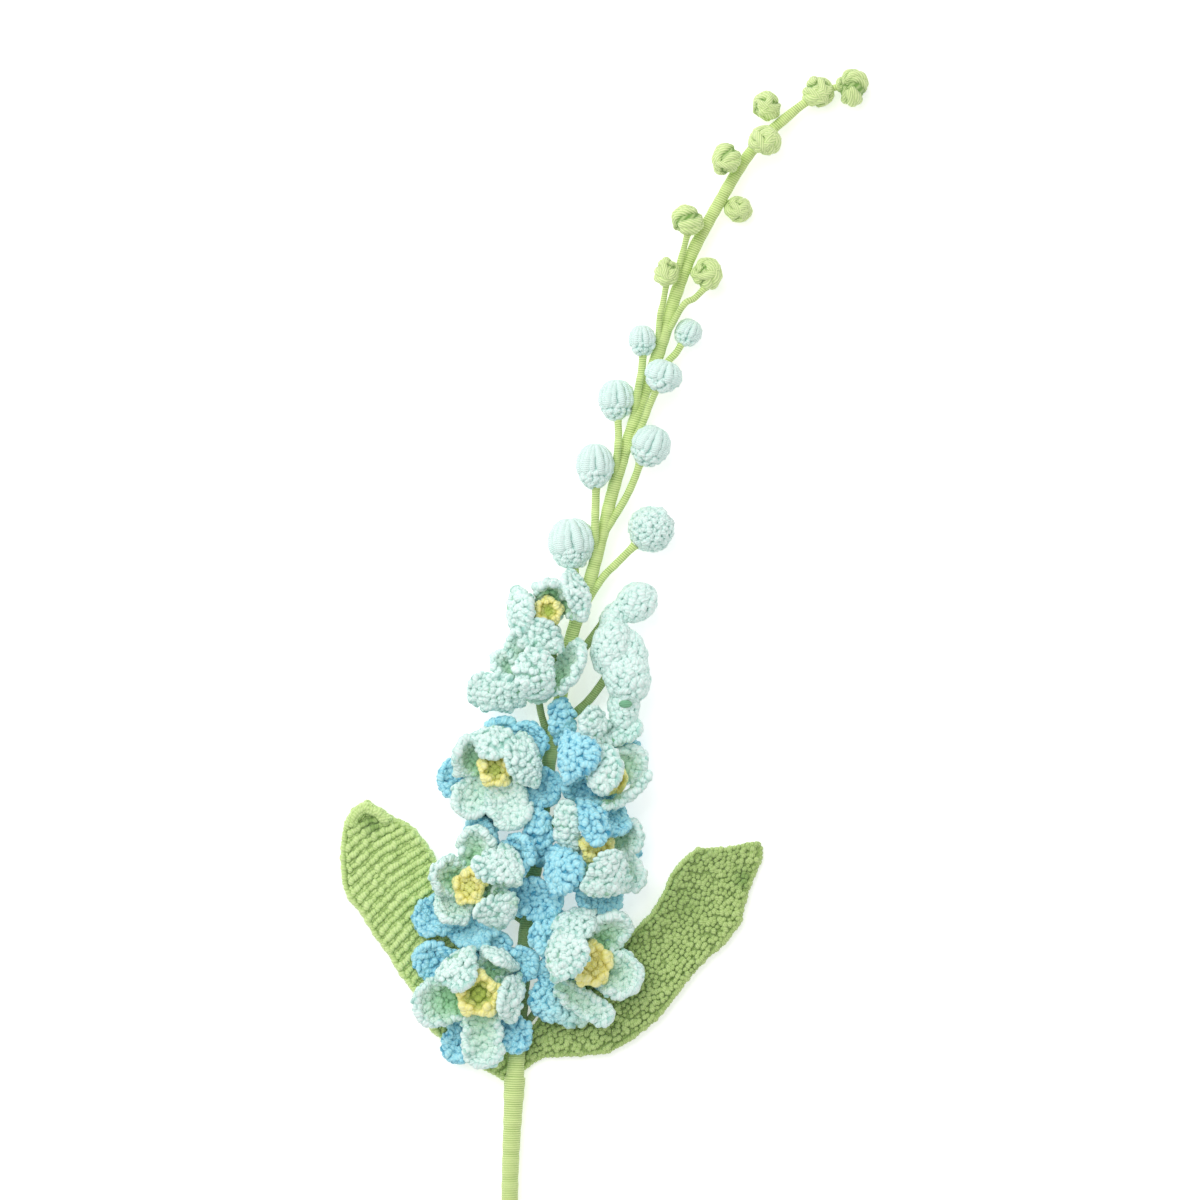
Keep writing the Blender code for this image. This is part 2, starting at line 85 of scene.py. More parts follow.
@dataclass(frozen=True)
class PhotoPlane:
    """Turns a pixel of the photograph and a height in mm into a point in the row frame."""

    span: float = 0.576
    pixels: float = 1200.0
    origin: Pixel = (604.9, 698.9)

    def point(self, x: float, y: float, lift: float) -> Array:
        """The point under pixel (x, y), lift mm above the table."""
        pixel = self.span / self.pixels
        return np.array([(x - self.origin[0]) * pixel, (self.origin[1] - y) * pixel, lift * MM])

    def path(self, marks: Iterable[PixelLift]) -> Array:
        """The points under several pixels, one row each."""
        return np.array([self.point(*mark) for mark in marks])


PLANE = PhotoPlane()


def unit(vectors: Array) -> Array:
    """The vectors, each made 1 long."""
    return vectors / np.maximum(np.linalg.norm(vectors, axis=-1, keepdims=True), 1e-12)


def along_path(path: Array, places: Array) -> Array:
    """Points of a polyline at given distances from its start.

    Args:
        path: the polyline, one point to a row, in any number of dimensions.
        places: the distances.

    Returns:
        One point to a row.
    """
    run = np.concatenate([[0.0], np.cumsum(np.linalg.norm(np.diff(path, axis=0), axis=1))])
    return np.stack([np.interp(places, run, column) for column in path.T], axis=1)


def path_length(path: Array) -> float:
    """The length of a polyline."""
    return float(np.linalg.norm(np.diff(path, axis=0), axis=1).sum())


def spline(marks: Array, steps: int) -> Array:
    """A Catmull-Rom curve through the marks.

    Args:
        marks: the points it passes, one to a row.
        steps: how many points to each stretch.

    Returns:
        The curve's points.
    """
    ends = np.concatenate([[2 * marks[0] - marks[1]], marks, [2 * marks[-1] - marks[-2]]])
    t = np.linspace(0, 1, steps, endpoint=False)[:, None]
    runs = []
    for a, b, c, d in zip(ends, ends[1:], ends[2:], ends[3:]):
        bend = (2 * a - 5 * b + 4 * c - d) * t**2 + (3 * b - a - 3 * c + d) * t**3
        runs.append((2 * b + (c - a) * t + bend) / 2)
    return np.concatenate([*runs, marks[-1:]])


# ---


@dataclass
class Patch:
    """A closed surface: its points, its faces, each corner's place on the yarn, and by point its share of the second
    colour and its painted crevice shade.
    """

    points: Array
    faces: list[tuple[int, ...]]
    yarn: list[tuple[float, float]]
    second: Array
    crevice: Array


def skin(rings: Array, yarn_length: float, second: Array | float = 0.0, crevice: Array | float = 0.0) -> Patch:
    """A closed surface through rings of points, with a point in the middle of each end.

    Args:
        rings: ring, point in the ring, and coordinate.
        yarn_length: the length of surface that takes up one unit along the yarn, in metres.
        second: the share of the second colour, one number or one for each ring and point; on some pieces it is painted
            shade.
        crevice: painted shade for how deep each point lies between the loops, from 0 to 1.

    Returns:
        The patch.
    """
    count, sides = rings.shape[:2]
    middles = rings.mean(axis=1)
    run = np.concatenate([[0.0], np.cumsum(np.linalg.norm(np.diff(middles, axis=0), axis=1))]) / yarn_length
    points = np.concatenate([rings.reshape(-1, 3), middles[:1], middles[-1:]])
    first_pole, last_pole = count * sides, count * sides + 1
    faces: list[tuple[int, ...]] = []
    yarn: list[tuple[float, float]] = []
    for j in range(sides):
        k = (j + 1) % sides
        left, right = j / sides, (j + 1) / sides
        faces.append((first_pole, k, j))
        yarn += [((left + right) / 2, run[0]), (right, run[0]), (left, run[0])]
        for i in range(count - 1):
            faces.append((i * sides + j, i * sides + k, (i + 1) * sides + k, (i + 1) * sides + j))
            yarn += [(left, run[i]), (right, run[i]), (right, run[i + 1]), (left, run[i + 1])]
        last = (count - 1) * sides
        faces.append((last_pole, last + j, last + k))
        yarn += [((left + right) / 2, run[-1]), (left, run[-1]), (right, run[-1])]

    def spread(values: Array | float) -> Array:
        """One value for each point, the two ends included."""
        grid = np.broadcast_to(np.asarray(values, float), (count, sides))
        return np.concatenate([grid.reshape(-1), grid[:1, 0], grid[-1:, 0]])

    patch = Patch(points, faces, yarn, spread(second), spread(crevice))
    if volume(patch) < 0:
        turn_round(patch)
    return patch


def volume(patch: Patch) -> float:
    """Six times the volume inside a patch, which is negative when it is inside out."""
    total = 0.0
    middle = patch.points.mean(axis=0)
    for face in patch.faces:
        a, *others = (patch.points[i] - middle for i in face)
        for b, c in zip(others, others[1:]):
            total += float(np.dot(a, np.cross(b, c)))
    return total


def turn_round(patch: Patch) -> None:
    """Makes each face of a patch look the other way."""
    at = 0
    for i, face in enumerate(patch.faces):
        patch.faces[i] = face[::-1]
        patch.yarn[at : at + len(face)] = patch.yarn[at : at + len(face)][::-1]
        at += len(face)


def tube(path: Array, radii: Array, sides: int, yarn_length: float, **dyes_and_shade: Array | float) -> Patch:
    """A round closed bar along a path.

    Args:
        path: its centre line.
        radii: its radius at each point of the path, and round it if there are more of them.
        sides: how many sides it has.
        yarn_length: as in skin.
        **dyes_and_shade: second and crevice, as in skin.

    Returns:
        The patch.
    """
    ahead = unit(np.gradient(path, axis=0))
    up = np.array([0.0, 0.0, 1.0])
    if abs(ahead[0] @ up) > 0.95:
        up = np.array([0.0, 1.0, 0.0])
    angles = 2 * math.pi * np.arange(sides) / sides
    radii = np.broadcast_to(radii if np.ndim(radii) == 2 else np.reshape(radii, (-1, 1)), (len(path), sides))
    rings = []
    for point, way, radius in zip(path, ahead, radii):
        up = unit(up - (up @ way) * way)
        side = np.cross(way, up)
        rings.append(point + radius[:, None] * (np.cos(angles)[:, None] * side + np.sin(angles)[:, None] * up))
    return skin(np.array(rings), yarn_length, **dyes_and_shade)


@dataclass(frozen=True)
class Winding:
    """Yarn wound round a wire, one turn beside the other."""

    turn: float = 1.1 * MM
    ridge: float = 0.06 * MM
    step: float = 0.34 * MM

    def bar(self, path: Array, radii: Array, sides: int, second: Array | float = 0.0) -> Patch:
        """A wound bar along a path.

        Args:
            path: its centre line.
            radii: its radius at each point of the path.
            sides: how many sides it has.
            second: painted shade, as the share of the second, darker colour at each point of the path.

        Returns:
            The patch.
        """
        dye = np.broadcast_to(second, len(path))
        marks = np.column_stack([path, np.broadcast_to(radii, len(path)), dye])
        run = np.concatenate([[0.0], np.cumsum(np.linalg.norm(np.diff(path, axis=0), axis=1))])
        places = np.linspace(0.0, run[-1], max(int(run[-1] / self.step), 4))
        rows = np.stack([np.interp(places, run, column) for column in marks.T], axis=1)
        angles = 2 * math.pi * np.arange(sides) / sides
        wave = np.sin(2 * math.pi * places[:, None] / self.turn + angles)
        slow = 0.97 + 0.035 * np.sin(places / MM * 0.8) * np.sin(places / MM * 0.23 + 1)
        radius = rows[:, 3:4] * slow[:, None] + self.ridge * wave
        dyes_and_shade = np.repeat(rows[:, 4:5], sides, axis=1)
        # Painted shade: darker in the grooves between the turns and where the bar is thinner.
        crevice = np.clip(0.3 - 0.55 * wave + 5 * (0.97 - slow[:, None]), 0, 1)
        return tube(rows[:, :3], radius, sides, self.turn, second=dyes_and_shade, crevice=crevice)


def mesh_object(name: str, patches: Sequence[Patch]) -> bpy.types.Object:
    """One object from several patches, with the yarn's UV map and the attributes of the second colour, of the painted
    crevice shade and of the tone.

    Args:
        name: the object's name.
        patches: its closed surfaces. With none, the mesh is empty.

    Returns:
        The object, linked to the scene.
    """
    mesh = bpy.data.meshes.new(name)
    starts = np.cumsum([0] + [len(patch.points) for patch in patches])
    points = [point for patch in patches for point in patch.points.tolist()]
    faces = [tuple(int(start) + i for i in face) for start, patch in zip(starts, patches) for face in patch.faces]
    mesh.from_pydata(points, [], faces)
    yarn = mesh.uv_layers.new(name=YARN_UV)
    places = np.array([place for patch in patches for place in patch.yarn], dtype=np.float32)
    if len(places):
        yarn.data.foreach_set("uv", places.ravel())
    for key in ("second", "crevice"):
        values = np.concatenate([getattr(patch, key) for patch in patches]) if patches else np.zeros(0)
        layer = mesh.attributes.new(key, "FLOAT", "POINT")
        layer.data.foreach_set("value", values.astype(np.float32))
    tone = mesh.attributes.new("tone", "FLOAT", "POINT")
    tone.data.foreach_set("value", np.full(len(points), 0.5, np.float32))
    mesh.shade_smooth()
    obj = bpy.data.objects.new(name, mesh)
    bpy.context.scene.collection.objects.link(obj)
    return obj


# ---


class Loops:
    """Where the loops of yarn lie: each one's place, the way it runs, the way it faces, its size, its share of the
    second colour and its painted hollow shade.
    """

    def __init__(self) -> None:
        """Starts with none."""
        self.places: list[Array] = []
        self.along: list[Array] = []
        self.outwards: list[Array] = []
        self.sizes: list[Array] = []
        self.second: list[Array] = []
        self.hollow: list[Array] = []

    def add(
        self, places: Array, along: Array, outwards: Array, size: Sequence[float], second: Array | float = 0.0,
        hollow: Array | float = 0.0,
    ) -> None:  # fmt: skip
        """Adds loops.

        Args:
            places: their middles, one to a row.
            along: the way each runs.
            outwards: the way each faces.
            size: their length, width and height, in metres.
            second: the share of the second colour: a real dye on some pieces, painted shade on others.
            hollow: painted shade for how deep in a hollow each lies, from 0 to 1.
        """
        count = len(places)
        self.places.append(places)
        self.along.append(np.broadcast_to(along, (count, 3)))
        self.outwards.append(np.broadcast_to(outwards, (count, 3)))
        self.sizes.append(np.broadcast_to(np.asarray(size, float), (count, 3)))
        self.second.append(np.broadcast_to(np.asarray(second, float), (count,)))
        self.hollow.append(np.broadcast_to(np.asarray(hollow, float), (count,)))

    def marks(self, name: str) -> bpy.types.Object:
        """An object of loose points that carry each loop's facts, for the tree that lays the loops."""
        mesh = bpy.data.meshes.new(name)
        mesh.from_pydata(np.concatenate(self.places).tolist(), [], [])
        for key in ("along", "outwards", "sizes"):
            layer = mesh.attributes.new(key, "FLOAT_VECTOR", "POINT")
            layer.data.foreach_set("vector", np.concatenate(getattr(self, key)).astype(np.float32).ravel())
        for key in ("second", "hollow"):
            layer = mesh.attributes.new(key, "FLOAT", "POINT")
            layer.data.foreach_set("value", np.concatenate(getattr(self, key)).astype(np.float32))
        obj = bpy.data.objects.new(name, mesh)
        bpy.context.scene.collection.objects.link(obj)
        return obj


@dataclass
class LoopTree:
    """The Geometry Nodes tree that lays one plump loop of yarn on each mark and joins them to the cloth below."""

    sides: int = 6
    stations: tuple[float, ...] = (-0.36, -0.05, 0.33)
    girths: tuple[float, ...] = (0.36, 0.5, 0.38)
    group: bpy.types.NodeTree = field(init=False)
    loop: bpy.types.Object = field(init=False)

    def __post_init__(self) -> None:
        """Makes the loop's own mesh and the tree."""
        self.loop = self._loop()
        self.group = self._tree()

    def _loop(self) -> bpy.types.Object:
        """A teardrop of yarn one unit long, wide and high, which runs along X and faces +Z."""
        angles = 2 * math.pi * np.arange(self.sides) / self.sides
        rings = np.array(
            [
                [(x, r * math.cos(angle), r * math.sin(angle)) for angle in angles]
                for x, r in zip(self.stations, self.girths)
            ]
        )
        patch = skin(rings, 1.0)
        patch.points[-2, 0], patch.points[-1, 0] = -0.5, 0.5
        # Painted shade: the loop's lower sides, which sink between its neighbours, are darker.
        patch.crevice = np.clip(0.56 - 1.7 * patch.points[:, 2], 0.0, 1.0)
        loop = mesh_object("loop of yarn", [patch])
        for key in ("second", "tone"):
            loop.data.attributes.remove(loop.data.attributes[key])
        loop.hide_render = True
        return loop

    def _tree(self) -> bpy.types.NodeTree:
        """Builds the tree, with named inputs for the marks, the loop, its unevenness, the seed and the yarn."""
        group = bpy.data.node_groups.new("rows of yarn loops", "GeometryNodeTree")
        sockets = (
            ("Cloth", "INPUT", "NodeSocketGeometry"),
            ("Marks", "INPUT", "NodeSocketObject"),
            ("Loop", "INPUT", "NodeSocketObject"),
            ("Unevenness", "INPUT", "NodeSocketFloat"),
            ("Seed", "INPUT", "NodeSocketInt"),
            ("Yarn", "INPUT", "NodeSocketMaterial"),
            ("Crochet", "OUTPUT", "NodeSocketGeometry"),
        )
        for name, way, kind in sockets:
            group.interface.new_socket(name=name, in_out=way, socket_type=kind)
        nodes, links = group.nodes, group.links

        def node(kind: str, settings: dict[str, object] | None = None, **sources: object) -> bpy.types.Node:
            """A node with its settings, then each input by its place, i0, i1 and so on."""
            made = nodes.new(kind)
            for key, value in (settings or {}).items():
                setattr(made, key, value)
            for key, source in sources.items():
                socket = made.inputs[int(key[1:])]
                if isinstance(source, bpy.types.NodeSocket):
                    links.new(source, socket)
                else:
                    socket.default_value = source
            return made

        inputs = node("NodeGroupInput")
        marks = node("GeometryNodeObjectInfo", {"transform_space": "ORIGINAL"}, i0=inputs.outputs["Marks"])
        loop = node("GeometryNodeObjectInfo", {"transform_space": "ORIGINAL"}, i0=inputs.outputs["Loop"])
        vector = {"data_type": "FLOAT_VECTOR"}
        along = node("GeometryNodeInputNamedAttribute", vector, i0="along")
        outwards = node("GeometryNodeInputNamedAttribute", vector, i0="outwards")
        sizes = node("GeometryNodeInputNamedAttribute", vector, i0="sizes")
        turned = node(
            "FunctionNodeAxesToRotation",
            {"primary_axis": "Z", "secondary_axis": "X"},
            i0=outwards.outputs[0],
            i1=along.outputs[0],
        )
        chance = node("FunctionNodeRandomValue", {"data_type": "FLOAT"}, i2=-1.0, i3=1.0, i8=inputs.outputs["Seed"])
        swing = node(
            "ShaderNodeMath", {"operation": "MULTIPLY"}, i0=chance.outputs[1], i1=inputs.outputs["Unevenness"]
        )
        growth = node("ShaderNodeMath", {"operation": "ADD"}, i0=swing.outputs[0], i1=1.0)
        scale = node(
            "ShaderNodeVectorMath", {"operation": "SCALE"}, i0=sizes.outputs[0], i3=growth.outputs[0]
        )
        tone = node("FunctionNodeRandomValue", {"data_type": "FLOAT"}, i2=0.0, i3=1.0, i8=inputs.outputs["Seed"])
        toned = node(
            "GeometryNodeStoreNamedAttribute",
            {"data_type": "FLOAT", "domain": "POINT"},
            i0=marks.outputs["Geometry"],
            i2="tone",
            i3=tone.outputs[1],
        )
        placed = node(
            "GeometryNodeInstanceOnPoints",
            i0=toned.outputs[0],
            i2=loop.outputs["Geometry"],
            i5=turned.outputs[0],
            i6=scale.outputs[0],
        )
        joined = node("GeometryNodeJoinGeometry")
        links.new(inputs.outputs["Cloth"], joined.inputs[0])
        links.new(placed.outputs[0], joined.inputs[0])
        real = node("GeometryNodeRealizeInstances", i0=joined.outputs[0])
        dressed = node("GeometryNodeSetMaterial", i0=real.outputs[0], i2=inputs.outputs["Yarn"])
        node("NodeGroupOutput", i0=dressed.outputs[0])
        return group

    def crochet(
        self, name: str, cloth: Sequence[Patch], loops: Loops, yarn: bpy.types.Material, unevenness: float, seed: int
    ) -> bpy.types.Object:
        """A plain mesh object of cloth and loops.

        Args:
            name: the object's name.
            cloth: the closed surfaces under the loops.
            loops: where the loops lie.
            yarn: their material.
            unevenness: how far a loop's size strays, as a share.
            seed: for the stray sizes and tones.

        Returns:
            The finished object.
        """
        ground = mesh_object(f"{name} ground", cloth)
        marks = loops.marks(f"{name} marks")
        modifier = ground.modifiers.new("loops", "NODES")
        modifier.node_group = self.group
        values = {"Marks": marks, "Loop": self.loop, "Unevenness": unevenness, "Seed": seed, "Yarn": yarn}
        for item in self.group.interface.items_tree:
            if item.in_out == "INPUT" and item.name in values:
                modifier[item.identifier] = values[item.name]
        graph = bpy.context.evaluated_depsgraph_get()
        mesh = bpy.data.meshes.new_from_object(ground.evaluated_get(graph), depsgraph=graph)
        mesh.name = name
        for key in ("along", "outwards", "sizes"):
            if key in mesh.attributes:
                mesh.attributes.remove(mesh.attributes[key])
        mesh.materials.clear()
        mesh.materials.append(yarn)
        obj = bpy.data.objects.new(name, mesh)
        bpy.context.scene.collection.objects.link(obj)
        for spare in (ground, marks):
            spare_mesh = spare.data
            bpy.data.objects.remove(spare)
            bpy.data.meshes.remove(spare_mesh)
        return obj

    def put_away(self) -> None:
        """Removes the loop's own object when the last piece is made."""
        mesh = self.loop.data
        bpy.data.objects.remove(self.loop)
        bpy.data.meshes.remove(mesh)


# ---


class Value:
    """One number that changes over a surface. Sums with it add Math nodes."""

    def __init__(self, kit: ShaderKit, socket: bpy.types.NodeSocket) -> None:
        """Wraps an output socket."""
        self.kit = kit
        self.socket = socket

    def __add__(self, other: Value | float) -> Value:
        """self + other."""
        return self.kit.math("ADD", self, other)

    __radd__ = __add__

    def __sub__(self, other: Value | float) -> Value:
        """self - other."""
        return self.kit.math("SUBTRACT", self, other)

    def __rsub__(self, other: Value | float) -> Value:
        """other - self."""
        return self.kit.math("SUBTRACT", other, self)

    def __mul__(self, other: Value | float) -> Value:
        """self * other."""
        return self.kit.math("MULTIPLY", self, other)

    __rmul__ = __mul__

    def __pow__(self, power: float) -> Value:
        """self to a power."""
        return self.kit.math("POWER", self, power)

    def sine(self) -> Value:
        """The sine, for an angle in radians."""
        return self.kit.math("SINE", self)

    def clamped(self) -> Value:
        """self, kept between 0 and 1."""
        return self.kit.math("MINIMUM", self.kit.math("MAXIMUM", self, 0.0), 1.0)


class ShaderKit:
    """Adds nodes to one material."""

    def __init__(self, name: str) -> None:
        """Makes the material with an empty tree but for its output and its Principled shader."""
        self.material = bpy.data.materials.new(name)
        self.material.use_nodes = True
        self.tree = self.material.node_tree
        self.shader = self.tree.nodes["Principled BSDF"]

    def node(
        self, kind: str, settings: dict[str, object] | None = None, **sources: object
    ) -> bpy.types.Node:
        """Any node.

        Args:
            kind: its type.
            settings: its own settings, set first.
            **sources: a value, a Value or a socket for each input, by its place: i0, i1 and so on.

        Returns:
            The node.
        """
        made = self.tree.nodes.new(kind)
        for key, value in (settings or {}).items():
            setattr(made, key, value)
        for key, source in sources.items():
            socket = made.inputs[int(key[1:])]
            if isinstance(source, Value):
                source = source.socket
            if isinstance(source, bpy.types.NodeSocket):
                self.tree.links.new(source, socket)
            else:
                socket.default_value = source
        return made

    def math(self, operation: str, *values: Value | float) -> Value:
        """A Math node's result."""
        sources = {f"i{i}": value for i, value in enumerate(values)}
        return Value(self, self.node("ShaderNodeMath", {"operation": operation}, **sources).outputs[0])

    def mix(self, factor: Value | float, first: object, second: object) -> bpy.types.NodeSocket:
        """A colour between two colours."""
        mixed = self.node("ShaderNodeMix", {"data_type": "RGBA"}, i0=factor, i6=first, i7=second)
        return mixed.outputs[2]

    def attribute(self, name: str) -> Value:
        """A number that the piece's points carry."""
        return Value(self, self.node("ShaderNodeAttribute", {"attribute_name": name}).outputs["Fac"])

    def noise(self, scale: float, detail: float) -> Value:
        """Noise in the piece's own space, from 0 to 1."""
        place = self.node("ShaderNodeTexCoord").outputs["Object"]
        noise = self.node("ShaderNodeTexNoise", {"noise_dimensions": "3D"}, i0=place, i2=scale, i3=detail)
        return Value(self, noise.outputs[0])

    def yarn_place(self) -> tuple[Value, Value]:
        """The places round and along the yarn."""
        place = self.node("ShaderNodeUVMap", {"uv_map": YARN_UV}).outputs[0]
        parts = self.node("ShaderNodeSeparateXYZ", i0=place)
        return Value(self, parts.outputs[0]), Value(self, parts.outputs[1])


def opaque(colour: Colour) -> tuple[float, float, float, float]:
    """A colour with a full alpha."""
    return (*colour, 1.0)


@dataclass(frozen=True)
class YarnFinish:
    """A soft mercerised yarn: its colours as a painted highlight, on its body and in painted shade, its second colour
    on its body and in painted shade, and its twist.
    """

    name: str
    slot: str
    light: Colour
    body: Colour
    deep: Colour
    second: Colour
    second_deep: Colour
    round_turns: float = 2.0
    long_turns: float = 3.0
    twist_depth: float = 0.8
    roughness: float = 0.72
    sheen: float = 0.25
    blotch: float = 14.0
    # Painted shade in the grooves of the twist.
    groove: float = 0.0

    def material(self) -> bpy.types.Material:
        """Builds the yarn's nodes."""
        kit = ShaderKit(self.name)
        around, along = kit.yarn_place()
        angle = (around * self.round_turns + along * self.long_turns) * (2 * math.pi)
        twist = angle.sine() * 0.5 + 0.5
        fibre = kit.noise(2600.0, 2.0)
        blotch = kit.noise(1000.0 / self.blotch, 1.0)
        tone = kit.attribute("tone")
        # Random tone, and a painted highlight on the crests of the ply twist, mix the body colour towards the light
        # colour.
        tone_and_shine = (twist * 0.5 + tone * 0.35 + blotch * 0.3 + fibre * 0.2 - 0.18).clamped()
        second = kit.attribute("second").clamped()
        # Painted shade: crevices between the loops, hollows and the grooves of the twist mix in the shaded colours.
        depth = kit.attribute("crevice") + kit.attribute("hollow") + (1.0 - twist) * self.groove
        crevice = depth.clamped() ** 1.3
        first_colour_and_shade = kit.mix(tone_and_shine, opaque(self.body), opaque(self.light))
        first_colour_and_shade = kit.mix(crevice, first_colour_and_shade, opaque(self.deep))
        second_colour_and_shade = kit.mix(crevice * 0.9, opaque(self.second), opaque(self.second_deep))
        colour = kit.mix(second, first_colour_and_shade, second_colour_and_shade)
        kit.tree.links.new(colour, kit.shader.inputs["Base Color"])
        relief = twist * 0.8 + fibre * 0.35
        bump = kit.node("ShaderNodeBump", None, i0=self.twist_depth, i1=0.00035)
        kit.tree.links.new(relief.socket, bump.inputs["Height"])
        kit.tree.links.new(bump.outputs[0], kit.shader.inputs["Normal"])
        rough = fibre * 0.16 + (self.roughness - 0.08)
        kit.tree.links.new(rough.socket, kit.shader.inputs["Roughness"])
        kit.shader.inputs["Sheen Weight"].default_value = self.sheen
        kit.shader.inputs["Sheen Roughness"].default_value = 0.5
        kit.shader.inputs["Specular IOR Level"].default_value = 0.3
        return kit.material


@dataclass(frozen=True)
class WireFinish:
    """Drawn steel wire, lightly scored along its length."""

    name: str = "drawn steel wire"
    colour: Colour = (0.45, 0.45, 0.44)
    dull: Colour = (0.30, 0.29, 0.28)

    def material(self) -> bpy.types.Material:
        """Builds the wire's nodes."""
        kit = ShaderKit(self.name)
        score = kit.noise(900.0, 3.0)
        colour = kit.mix(score, opaque(self.colour), opaque(self.dull))
        kit.tree.links.new(colour, kit.shader.inputs["Base Color"])
        kit.tree.links.new((score * 0.3 + 0.25).socket, kit.shader.inputs["Roughness"])
        kit.shader.inputs["Metallic"].default_value = 1.0
        return kit.material


class Yarn(Enum):
    """The spike's yarns."""

    STEM = "stem"
    PEDICEL = "pedicel"
    GREEN_BUD = "green bud"
    LEFT_LEAF = "left leaf"
    RIGHT_LEAF = "right leaf"
    MINT = "mint"
    BLUE = "blue"
    YELLOW = "yellow"


# The second colour is a real dye on the blue yarn, for its mint fade, and on the yellow yarn, for the green middle; on
# the stem, pedicel, leaf and mint yarns it is painted shade, green in the mint's cups.
FINISHES = {
    Yarn.STEM: YarnFinish(
        "wrapped stem yarn", "stem_yarn", (0.84, 0.96, 0.45), (0.62, 0.79, 0.28), (0.30, 0.46, 0.11),
        (0.13, 0.25, 0.09), (0.05, 0.11, 0.04), round_turns=1.0, long_turns=1.0, twist_depth=0.5,
    ),
    Yarn.PEDICEL: YarnFinish(
        "wrapped pedicel yarn", "stem_yarn", (0.80, 0.93, 0.42), (0.58, 0.76, 0.26), (0.28, 0.44, 0.11),
        (0.13, 0.25, 0.09), (0.05, 0.11, 0.04), round_turns=1.0, long_turns=1.0, twist_depth=0.5,
    ),
    Yarn.GREEN_BUD: YarnFinish(
        "green bud yarn", "green_bud_yarn", (0.92, 1.0, 0.53), (0.67, 0.90, 0.32), (0.20, 0.38, 0.08),
        (0.2, 0.36, 0.08), (0.08, 0.17, 0.03), round_turns=9.0, long_turns=0.7, twist_depth=1.0,
        groove=0.4,
    ),
    Yarn.LEFT_LEAF: YarnFinish(
        "left leaf yarn", "leaf_yarn", (0.76, 0.93, 0.42), (0.52, 0.73, 0.23), (0.17, 0.32, 0.05),
        (0.2, 0.36, 0.08), (0.08, 0.17, 0.03),
    ),
    Yarn.RIGHT_LEAF: YarnFinish(
        "right leaf yarn", "leaf_yarn", (0.62, 0.78, 0.32), (0.40, 0.57, 0.16), (0.17, 0.30, 0.06),
        (0.22, 0.38, 0.09), (0.08, 0.17, 0.03),
    ),
    Yarn.MINT: YarnFinish(
        "mint yarn", "mint_yarn", (0.90, 1.0, 0.97), (0.67, 0.95, 0.87), (0.33, 0.64, 0.56),
        (0.36, 0.69, 0.40), (0.16, 0.42, 0.20),
    ),
    Yarn.BLUE: YarnFinish(
        "blue yarn", "blue_yarn", (0.56, 0.94, 0.99), (0.30, 0.75, 0.90), (0.05, 0.34, 0.52),
        (0.64, 0.89, 0.79), (0.25, 0.50, 0.40),
    ),
    Yarn.YELLOW: YarnFinish(
        "yellow yarn", "yellow_yarn", (1.0, 0.98, 0.52), (1.0, 0.93, 0.29), (0.86, 0.77, 0.17),
        (0.52, 0.66, 0.14), (0.24, 0.36, 0.05),
    ),
}  # fmt: skip


# ---


@dataclass
class Workbench:
    """What every piece is made with: the loop tree, the yarns' materials, and the seed of the next piece."""

    loops: LoopTree
    yarns: dict[Yarn, bpy.types.Material]
    chance: np.random.Generator
    pieces: int = 0

    def finish_piece(self, obj: bpy.types.Object, yarn: Yarn, *nodes: str) -> bpy.types.Object:
        """Puts a finished piece in the frame.

        Args:
            obj: the piece.
            yarn: what it is made of; not used.
            *nodes: the CAD nodes that it stands for.

        Returns:
            The piece.
        """
        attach(obj, BODY)
        if nodes:
            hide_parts(*nodes)
        self.pieces += 1
        LOG.info("%s: %d faces", obj.name, len(obj.data.polygons))
        return obj

    def crocheted(
        self, name: str, cloth: Sequence[Patch], loops: Loops, yarn: Yarn, *nodes: str, unevenness: float = 0.22
    ) -> bpy.types.Object:
        """A finished crocheted piece, as in LoopTree.crochet and finish_piece."""
        obj = self.loops.crochet(name, cloth, loops, self.yarns[yarn], unevenness, SEED + self.pieces)
        return self.finish_piece(obj, yarn, *nodes)

    def wound(self, name: str, patches: Sequence[Patch], yarn: Yarn, *nodes: str) -> bpy.types.Object:
        """A finished piece of wound yarn, with no loops."""
        obj = mesh_object(name, patches)
        obj.data.materials.append(self.yarns[yarn])
        return self.finish_piece(obj, yarn, *nodes)

    def stray(self, count: int, reach: float) -> Array:
        """Small seeded strayings, one for each of count loops."""
        return self.chance.uniform(-reach, reach, count)


class Surface(ABC):
    """A surface that loops are laid on. s and t are distances on it laid flat, in metres."""

    flip: float = 1.0

    @abstractmethod
    def at(self, s: Array, t: Array) -> Array:
        """The points at (s, t), one to a row."""

    def lay(
        self, loops: Loops, s: Array, t: Array, heading: Array, size: Sequence[float], lift: Array | float,
        second: Array | float = 0.0, hollow: Array | float = 0.0,
    ) -> None:  # fmt: skip
        """Lays loops on the surface.

        Args:
            loops: takes the loops.
            s: each loop's place.
            t: each loop's place.
            heading: the angle that each runs at, from the way that s grows to the way that t grows.
            size: their length, width and height, in metres.
            lift: how far their middles stand off the surface.
            second: the share of the second colour: a real dye on some pieces, painted shade on others.
            hollow: painted shade for how deep in a hollow each lies.
        """
        step = 0.05 * MM
        here = self.at(s, t)
        over_s = unit(self.at(s + step, t) - self.at(s - step, t))
        over_t = unit(self.at(s, t + step) - self.at(s, t - step))
        outwards = self.flip * unit(np.cross(over_s, over_t))
        along = np.cos(heading)[:, None] * over_s + np.sin(heading)[:, None] * over_t
        lift = np.broadcast_to(lift, s.shape)[:, None]
        loops.add(here + lift * outwards, along, outwards, size, second, hollow)


